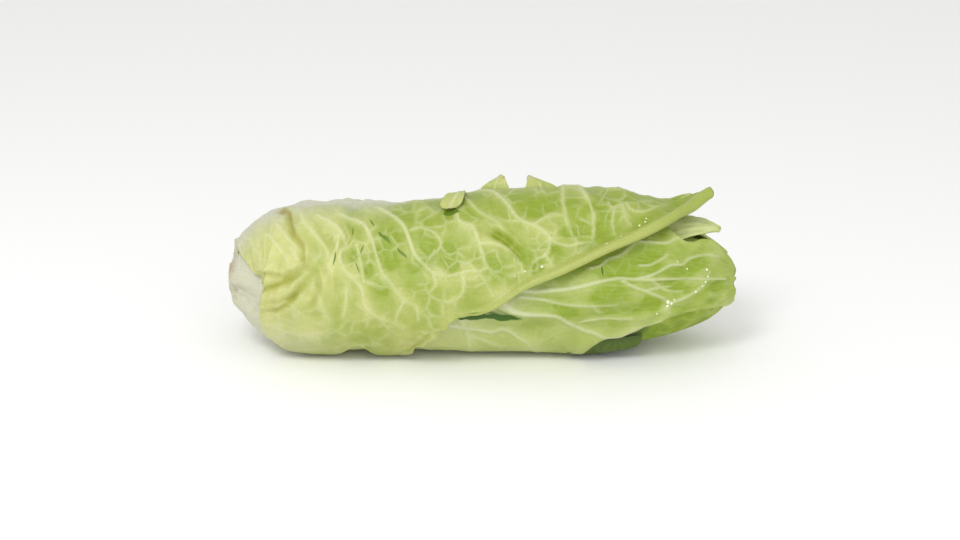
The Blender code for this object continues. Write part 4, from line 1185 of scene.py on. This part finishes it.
def frontFields(name, grid, reach):
    fields = startFields(grid)
    rows, s, angle = leaves[name]["rows"], grid["s"], np.degrees(grid["angle"])
    fields["green"] = 0.25 + 0.6 * smoothStep(100, 200, s)
    fields["green"] -= 0.15 * smoothStep(255, 285, s) + 0.35 * smoothStep(-5, -40, angle)
    addWrinkles(grid, fields, *frontLeaf["wrinkles"])
    addHollows(grid, fields, reach, frontLeaf["hollows"], frontLeaf["hollowGreen"])
    addVeins(grid, fields, reach, frontLeaf["veins"])
    hidden = grownVeins(rows, -1, 5) + grownVeins(rows, 1, 6)
    addVeins(grid, fields, reach, [line for line in hidden if line[1][0][0] < frontLeaf["hiddenTo"]])
    for pleat in frontLeaf["pleats"]:
        addValley(grid, fields, reach, *pleat)
    rib = whiteRib(grid, frontLeaf["ribWidth"], 1.35, 0.4, 0.62) * (1 - 0.65 * smoothStep(100, 150, s))
    fields["white"] = np.clip(0.95 * rib + 0.9 * smoothStep(60, 15, s), 0, 1)
    return finishFields(grid, fields, 2)


def plainFields(name, grid, reach):
    fields = startFields(grid)
    seed, s, angle = int(plainLeaves[name]["seed"]), grid["s"], np.degrees(grid["angle"])
    low, high = plainLeaves[name]["green"]
    fields["green"] = low + (high - low) * smoothStep(60, 240, s)
    addWrinkles(grid, fields, *plainLeaf["wrinkles"], seed, plainLeaf["wrinkleGreen"])
    for side in (-1, 1):
        lines = grownVeins(leaves[name]["rows"], side, seed + side, plainLeaf["veinStep"])
        addVeins(grid, fields, reach, lines)
    if name == "leaf_under":   # painted shade: where the front leaf overhangs it, this leaf is coloured dark green for the shadow there
        shade = smoothStep(247, 240, s + 3 * np.sin(angle / 5)) * smoothStep(190, 200, s)
        fields["deep"] = 0.9 * shade * smoothStep(-98, -90, angle)
    rib = whiteRib(grid, plainLeaf["ribWidth"], 1.4, 0.6, 1.0) * (1 - 0.7 * smoothStep(180, 240, s))
    fields["white"] = np.clip(0.9 * rib + 0.8 * smoothStep(70, 15, s), 0, 1)
    return finishFields(grid, fields, seed)


makeLeaf("leaf_front", frontLeaf, frontFields)
for name, sizes in plainLeaves.items():
    makeLeaf(name, sizes, plainFields)


# The heart: its core, and the tips of its own leaves

def makeHeart():
    material = leafMaterial("heartSkin", heartLeaves["seed"])
    rings, sides = heartLeaves["coreRings"], heartLeaves["coreSides"]
    s, angle = np.meshgrid(closeAtEnds(rings) * (outlineLength - heartLeaves["coreShorter"]),
                           np.linspace(0, 2 * math.pi, sides, endpoint=False), indexing="ij")
    points = place(s, angle, 0 * s).reshape(-1, 3)
    ends = place(s[[0, -1], 0], np.zeros(2), np.zeros(2)) * [1, 0, 0]
    spot = np.stack([s, angle * head["placeRadius"], 0 * s], -1).reshape(-1, 3)
    spot = np.vstack([spot, spot[[0, -1]]])
    fields = {key: np.zeros(len(spot)) for key in ("vein", "deep", "brown", "smooth")}
    fields["leafPlace"] = spot
    fields["white"] = 0.7 * smoothStep(90, 20, spot[:, 0])
    fields["green"] = 0.1 + 0.5 * smoothStep(150, 290, spot[:, 0])
    core = newPiece("heart_core", np.vstack([points, ends]), turnedFaces(rings, sides), material, fields)
    dressPiece(core, "root", "heart")
    perVein, side = heartLeaves["perVein"], heartLeaves["side"]
    for number, (middle, level) in enumerate(zip(heartLeaves["middles"], heartLeaves["levels"])):
        rows = heartRows(middle)
        grid = leafGrid(rows, perVein, side, side, 0.0, True, 0.3, number)
        fields = startFields(grid)
        over = np.full(grid["s"].shape, level)
        reach = np.interp(grid["s"], outline[0], outline[2]) + over
        fields["green"] = 0.1 + 0.5 * smoothStep(170, 290, grid["s"])
        for way in (-1, 1):
            lines = grownVeins(rows, way, heartLeaves["veinSeed"] + number, *heartLeaves["veins"])
            addVeins(grid, fields, reach, lines)
        finishFields(grid, fields, number, 0.5)
        under = np.maximum(over - heartLeaves["blade"], heartLeaves["lowest"])
        outer, inner = (place(grid["s"], grid["angle"], height) for height in (over, under))
        blade = closedSheet(f"heart_blade_{number + 1}", outer, inner, fields, material)
        addRelief(blade, material, finishes["heartSkin"]["cell"], heartLeaves)
        dressPiece(blade, "root")


makeHeart()
print("heart made")


# The flaps torn loose at the wrapper's top, and the scrap under the head

tornFlaps = {   # name, s, angle, length, height, lean along and over, share left at the tip,
    "flaps": [  # how arched, browned corner, how ragged
        ("torn_flap_1", 137.5, 101, 8, 4.6, -4.5, -30, 1.9, 1.0, 0.0, 0.1),
        ("torn_flap_2", 158.5, 103, 18, 7.5, 4, 3, 0.25, 0.0, 0.8, 1.0),
        ("torn_flap_3", 186.5, 102, 19, 6.4, -7, 6, 0.12, 0.0, 0.8, 1.0),
    ],
    "scrap": ("under_scrap", 222, -44, 42, 5.0, -3, -28, 0.9, 0.5, 0.0, 0.8),
    "scrapCut": [   # across, share of the lean
        (-0.5, 0.55), (-0.38, 0.75), (-0.28, 0.78), (-0.18, 1.05), (-0.1, 1.0), (0.0, 0.68), (0.12, 0.5),
        (0.26, 0.42), (0.36, 0.5), (0.43, 0.44), (0.5, 0.3),
    ],
    "rows": 30, "columns": 44, "root": 0.8, "thickest": 0.9, "thinner": 0.5, "veinTo": 30,
    "cell": 6.0, "cellDepth": 0.1, "waveSize": 9.0, "waveHeight": 0.9,
    "headReach": 44, "blur": 5,   # how the wrapper's own height is read
}


def makeFlap(sizes, ground, material, cut=((-0.5, 1), (0.5, 1))):
    name, s, angle, length, height, leanAlong, leanOver, tipShare, arched, corner, tornness = sizes
    angle, leanOver, upright = math.radians(angle), math.radians(leanOver), 1 - arched
    rows, columns = tornFlaps["rows"], tornFlaps["columns"]
    up, across = np.meshgrid(np.linspace(0, 1, rows), np.linspace(-0.5, 0.5, columns), indexing="ij")
    lean = (arched * up + upright * up**2) * np.interp(across, *np.array(cut).T)
    narrow = (1 - (1 - tipShare) * up**1.6) * (1 - arched * 0.2 * up**6)
    flapS = s + across * length * narrow + leanAlong * up**2
    ragged = tornness * (0.06 * np.sin(across * 31 + s) + 0.04 * np.sin(across * 57 + 2 * s))
    flapAngle = angle + leanOver * lean * (1 - 0.12 * arched * (2 * across) ** 4)
    flapAngle = flapAngle + 0.6 * leanOver * ragged * arched * up**4
    root = ground(flapS, flapAngle * arched + upright * angle)
    rise = arched * np.sin(0.78 * math.pi * up) + upright * up
    rise = rise * (1 - 0.8 * upright * across**2) * (1 + upright * ragged * up)
    level = root - tornFlaps["root"] * (1 - up) + height * rise
    middle = place(flapS, flapAngle, level)
    normal = np.cross(np.gradient(middle, axis=0), np.gradient(middle, axis=1))
    normal /= np.linalg.norm(normal, axis=2, keepdims=True)
    half = 0.5 * (tornFlaps["thickest"] - tornFlaps["thinner"] * up)[..., None]
    fields = startFields({"s": flapS})
    del fields["fold"], fields["halo"]
    fields["green"] += 0.5 - 0.3 * up
    bend = across + (0.25 * up - 0.22) * arched
    fields["vein"] = bell(bend * length, 0, 0.8) * (1 - 0.3 * up) * (length < tornFlaps["veinTo"])
    fields["relief"] = 0.4 * fields["vein"]
    browned = corner * smoothStep(0.7, 1.0, up) * smoothStep(0.1, 0.4, across)
    fields["brown"] = np.maximum(0.2 * smoothStep(0.9, 1.0, up), browned)
    fields["white"] = corner * 0.9 * smoothStep(0.6, 1.0, up) * smoothStep(0.3, -0.3, across)
    fields["leafPlace"] = np.stack([flapS, level + 200, 0 * flapS], -1)
    fields["loose"] = np.full((rows, columns), 0.6)
    piece = closedSheet(name, middle + normal * half, middle - normal * half, fields, material)
    addRelief(piece, material, tornFlaps["cell"], {**tornFlaps, "seed": s})
    dressPiece(piece, "root")


def wrapperLevel(s, angle):
    # the wrapper's own outer face at a place, as a mean of the points round it
    found = np.zeros(s.size)
    for k, (a, b) in enumerate(zip(s.ravel(), angle.ravel())):
        gone = (wrapperGrid["s"] - a) ** 2 + ((wrapperGrid["angle"] - b) * tornFlaps["headReach"]) ** 2
        weight = np.exp(-gone / tornFlaps["blur"])
        found[k] = (weight * wrapperTop).sum() / weight.sum()
    return found.reshape(s.shape)


def scrapLevel(s, angle):
    # the face under the front leaf, which the scrap hangs from
    return heights.readSmooth(leaves["leaf_front"]["below"], s, angle) + 0.2


# the scrap's skin is dark partly from its own green and partly from painted shade
flapSkin, scrapGreenAndShadeSkin = leafMaterial("wrapperSkin", 5.0), leafMaterial("scrapGreenAndShadeSkin", 7.0)
flapSkin.name = "flapSkin"
for sizes in tornFlaps["flaps"]:
    makeFlap(sizes, wrapperLevel, flapSkin)
makeFlap(tornFlaps["scrap"], scrapLevel, scrapGreenAndShadeSkin, tornFlaps["scrapCut"])
print("flaps made")


# Drops of water on the front leaf and along the roll

waterDrops = {   # s, angle, size
    "front": [(256, -4, 1.3), (258, -6, 0.9), (255, -8, 1.0), (260, -2, 0.6), (272, 3, 0.8), (280, 30, 0.9),
              (280, 20, 0.8), (279, 13, 0.7), (276, 8, 0.6), (268, 30, 0.6), (262, 36, 0.5), (250, -14, 0.6)],
    "wrapper": [(239, 60, 0.8), (242, 63, 0.7), (243, 66, 0.6), (229, 49, 0.6), (221, 43, 0.7),
                (176, 24, 0.6), (186, 27, 0.9), (170, 20, 0.5)],
    "rings": 5, "sides": 10, "flat": 0.45, "off": 0.1,
}


def waterMaterial():
    material, tree, shader = newMaterial("waterWithPaintedGlint")
    ripple = addNoise(tree, addNode(tree, "ShaderNodeTexCoord").outputs["Object"], 300.0, 2.0)
    # painted highlight: the drops are opaque, and their pale colour stands in for the light a clear drop
    # would catch; the low roughness and the coat give their real reflections
    setInputs(tree, shader, {
        "Base Color": addMix(tree, ripple, linear(0.80, 0.85, 0.62), linear(0.92, 0.95, 0.82)),
        "Roughness": 0.04, "IOR": 1.33, "Specular IOR Level": 0.9, "Coat Weight": 1.0, "Coat Roughness": 0.03,
    })
    return material


def dropTree():
    # one flattened drop stood on each point, turned and sized by the point's own attributes
    tree = bpy.data.node_groups.new("waterDrops", "GeometryNodeTree")
    inputs = [("Geometry", "G"), ("Flatness", "F", waterDrops["flat"]), ("Material", "M")]
    take, give = addSockets(tree, inputs, [("Geometry", "G")])
    drop = addNode(tree, "GeometryNodeMeshUVSphere", Segments=waterDrops["sides"], Rings=waterDrops["rings"],
                   Radius=mm)
    squash = addNode(tree, "ShaderNodeCombineXYZ", X=1.0, Y=1.0, Z=take["Flatness"]).outputs[0]
    flat = addNode(tree, "GeometryNodeTransform", Geometry=drop.outputs["Mesh"], Scale=squash)
    smooth = addNode(tree, "GeometryNodeSetShadeSmooth", Geometry=flat.outputs[0])
    turn = addNode(tree, "FunctionNodeAlignRotationToVector", {"axis": "Z"},
                   Vector=readField(tree, "outward", "FLOAT_VECTOR"))
    stood = addNode(tree, "GeometryNodeInstanceOnPoints", Points=take["Geometry"], Instance=smooth.outputs[0],
                    Rotation=turn.outputs[0], Scale=readField(tree, "size"))
    return finishTree(tree, stood, take, give)


def makeDrops(name, skin, spots, tree, material):
    # each drop stands on the leaf's own point nearest its place
    mesh = bpy.data.objects[skin].data
    count = len(mesh.vertices)
    where, points, outward = (np.zeros(count * 3, np.float32) for _ in range(3))
    mesh.attributes["leafPlace"].data.foreach_get("vector", where)
    mesh.attributes["outward"].data.foreach_get("vector", outward)
    mesh.vertices.foreach_get("co", points)
    where, points, outward = (values.reshape(-1, 3)[: count // 2] for values in (where, points, outward))
    found = []
    for s, angle, _ in spots:
        gone = (where[:, 0] - s) ** 2 + (where[:, 1] - math.radians(angle) * head["placeRadius"]) ** 2
        found.append(gone.argmin())
    cloud = bpy.data.meshes.new(name)
    cloud.from_pydata((points[found] + waterDrops["off"] * mm * outward[found]).tolist(), [], [])
    addField(cloud, "size", np.array([spot[2] for spot in spots]))
    addField(cloud, "outward", outward[found])
    piece = linked(bpy.data.objects.new(name, cloud))
    runNodes(piece, tree, {"Flatness": waterDrops["flat"], "Material": material})
    dressPiece(piece, "root")


dropsOnLeaf, water = dropTree(), waterMaterial()
makeDrops("drops_on_front", "leaf_front_skin", waterDrops["front"], dropsOnLeaf, water)
makeDrops("drops_on_wrapper", "leaf_wrapper_skin", waterDrops["wrapper"], dropsOnLeaf, water)
print("drops made")


# The cut stem

stem = {
    "radius": 8.5, "from": 1.5, "to": 4.6, "rings": 44, "sides": 96,
    "rough": 0.25, "lumps": 8, "seed": 4, "raised": 0.3, "sunk": 0.25,
    "ring": 0.0052, "ringWidth": 0.0012, "rim": (0.0072, 0.0084),   # of the shading, in m from the axis
}


def stemMaterial():
    material, tree, shader = newMaterial("stemCut")
    spot = addNode(tree, "ShaderNodeTexCoord").outputs["Object"]
    flat = addVector(tree, "MULTIPLY", addVector(tree, "SUBTRACT", spot, tuple(headOrigin)), (0.0, 1.0, 1.0))
    distance = addVector(tree, "LENGTH", flat)
    grain, stain = addNoise(tree, spot, 420.0, 6.0, 0.65), addNoise(tree, spot, 140.0, 3.0)
    fromRing = addMath(tree, "ABSOLUTE", addMath(tree, "SUBTRACT", distance, stem["ring"]))
    colour = linear(0.80, 0.72, 0.56)
    for share, last in (   # browned, the ring of vessels, the rim and the grain
        (addRamp(tree, stain, 0.42, 0.62, 0.0, 0.8), linear(0.58, 0.36, 0.24)),
        (addRamp(tree, fromRing, stem["ringWidth"], 0.0, 0.0, 0.45), linear(0.50, 0.32, 0.22)),
        (addRamp(tree, distance, *stem["rim"]), linear(0.86, 0.84, 0.70)),
        (addMath(tree, "MULTIPLY", grain, 0.35), linear(0.46, 0.32, 0.24)),
    ):
        colour = addMix(tree, share, colour, last)
    bump = addNode(tree, "ShaderNodeBump", Strength=0.6, Distance=0.0004, Height=grain)
    setInputs(tree, shader, {"Base Color": colour, "Normal": bump.outputs["Normal"],
                             "Roughness": addRamp(tree, grain, 0.0, 1.0, 0.6, 0.9, "LINEAR")})
    return material


def makeStem():
    # turned rings from the back of the stub over its worn edge to the middle of the cut
    radius, start, end = stem["radius"], stem["from"], stem["to"]
    profile = [(end, 0.001), (end, radius * 0.6), (end, radius)]
    profile += [(end - (end - start) * k, radius) for k in (0.3, 0.6)]
    profile += [(start + 0.8, radius), (start + 0.25, radius - 0.25), (start, radius - 0.8)]
    profile += [(start, radius * k) for k in (0.8, 0.6, 0.4, 0.2)] + [(start - stem["sunk"], 0.001)]
    line = smoothRows(profile, np.linspace(0, 1, stem["rings"]))
    along, out = line[:, :1], line[:, 1:2]
    turn = np.linspace(0, 2 * math.pi, stem["sides"], endpoint=False)
    phases = np.random.default_rng(stem["seed"]).uniform(0, 6.3, stem["lumps"])
    lumps = sum(np.sin((k + 2) * turn + phase + along * 1.3) / (k + 2) for k, phase in enumerate(phases))
    face = smoothStep(radius + 1, radius - 2, out) * (along < start + 1)
    x = along + stem["rough"] * lumps * face * np.minimum(out / 3, 1) + stem["raised"] * face
    r = np.minimum(np.abs(out) + 0 * turn, radius)
    points = np.stack([np.maximum(x, start) + 0 * turn, -np.cos(turn) * r, np.sin(turn) * r], -1)
    points = np.vstack([points.reshape(-1, 3), [[end, 0, 0], [x[-1, 0], 0, 0]]])
    piece = newPiece("stem_cut", points, turnedFaces(*r.shape), stemMaterial())
    dressPiece(piece, "root", "cut_stem")


makeStem()
print("stem made")


# Floor, light and camera

stage = {
    "floorSize": 6.0, "floor": (0.97, 0.97, 0.965), "world": 0.8,
    # power, size, place
    "lamps": [("key", 7.5, 0.5, (-0.4, -0.85, 1.1)), ("fill", 5.0, 1.4, (0.5, -1.3, 0.6))],
    "aim": (0, 0, 0.04), "lens": 85, "sensor": 36, "shift": 7 / 960, "clip": (0.01, 20),
    "tilt": 20, "distance": 1.328, "middle": 0.1482,   # of the head along its axis from the butt
}


def makeStage():
    half = stage["floorSize"] / 2
    mesh = bpy.data.meshes.new("floor")
    corners = [(-half, -half, 0), (half, -half, 0), (half, half, 0), (-half, half, 0)]
    mesh.from_pydata(corners, [], [(0, 1, 2, 3)])
    floor = linked(bpy.data.objects.new("floor", mesh))
    material, tree, shader = newMaterial("paleFloor")
    setInputs(tree, shader, {"Base Color": linear(*stage["floor"]), "Roughness": 0.7})
    mesh.materials.append(material)
    scene.world = bpy.data.worlds.new("studio")
    scene.world.use_nodes = True
    tree = scene.world.node_tree
    setInputs(tree, tree.nodes["Background"], {"Color": (1, 1, 1, 1), "Strength": stage["world"]})
    for name, power, size, spot in stage["lamps"]:
        data = bpy.data.lights.new(name, "AREA")
        data.energy, data.size = power, size
        lamp = linked(bpy.data.objects.new(name, data))
        lamp.location = spot
        lamp.rotation_mode = "QUATERNION"
        lamp.rotation_quaternion = (Vector(stage["aim"]) - Vector(spot)).to_track_quat("-Z", "Y")
    data = bpy.data.cameras.new("camera")
    data.lens, data.sensor_width, data.shift_y = stage["lens"], stage["sensor"], stage["shift"]
    data.clip_start, data.clip_end = stage["clip"]
    scene.camera = linked(bpy.data.objects.new("camera", data))
    tilt = math.radians(stage["tilt"])
    target = Vector(headOrigin) + Vector((stage["middle"], 0, 0))
    scene.camera.location = target + stage["distance"] * Vector((0, -math.cos(tilt), math.sin(tilt)))
    scene.camera.rotation_euler = (math.radians(90) - tilt, 0, 0)
    scene.view_settings.view_transform = "Standard"


makeStage()
bpy.context.view_layer.update()
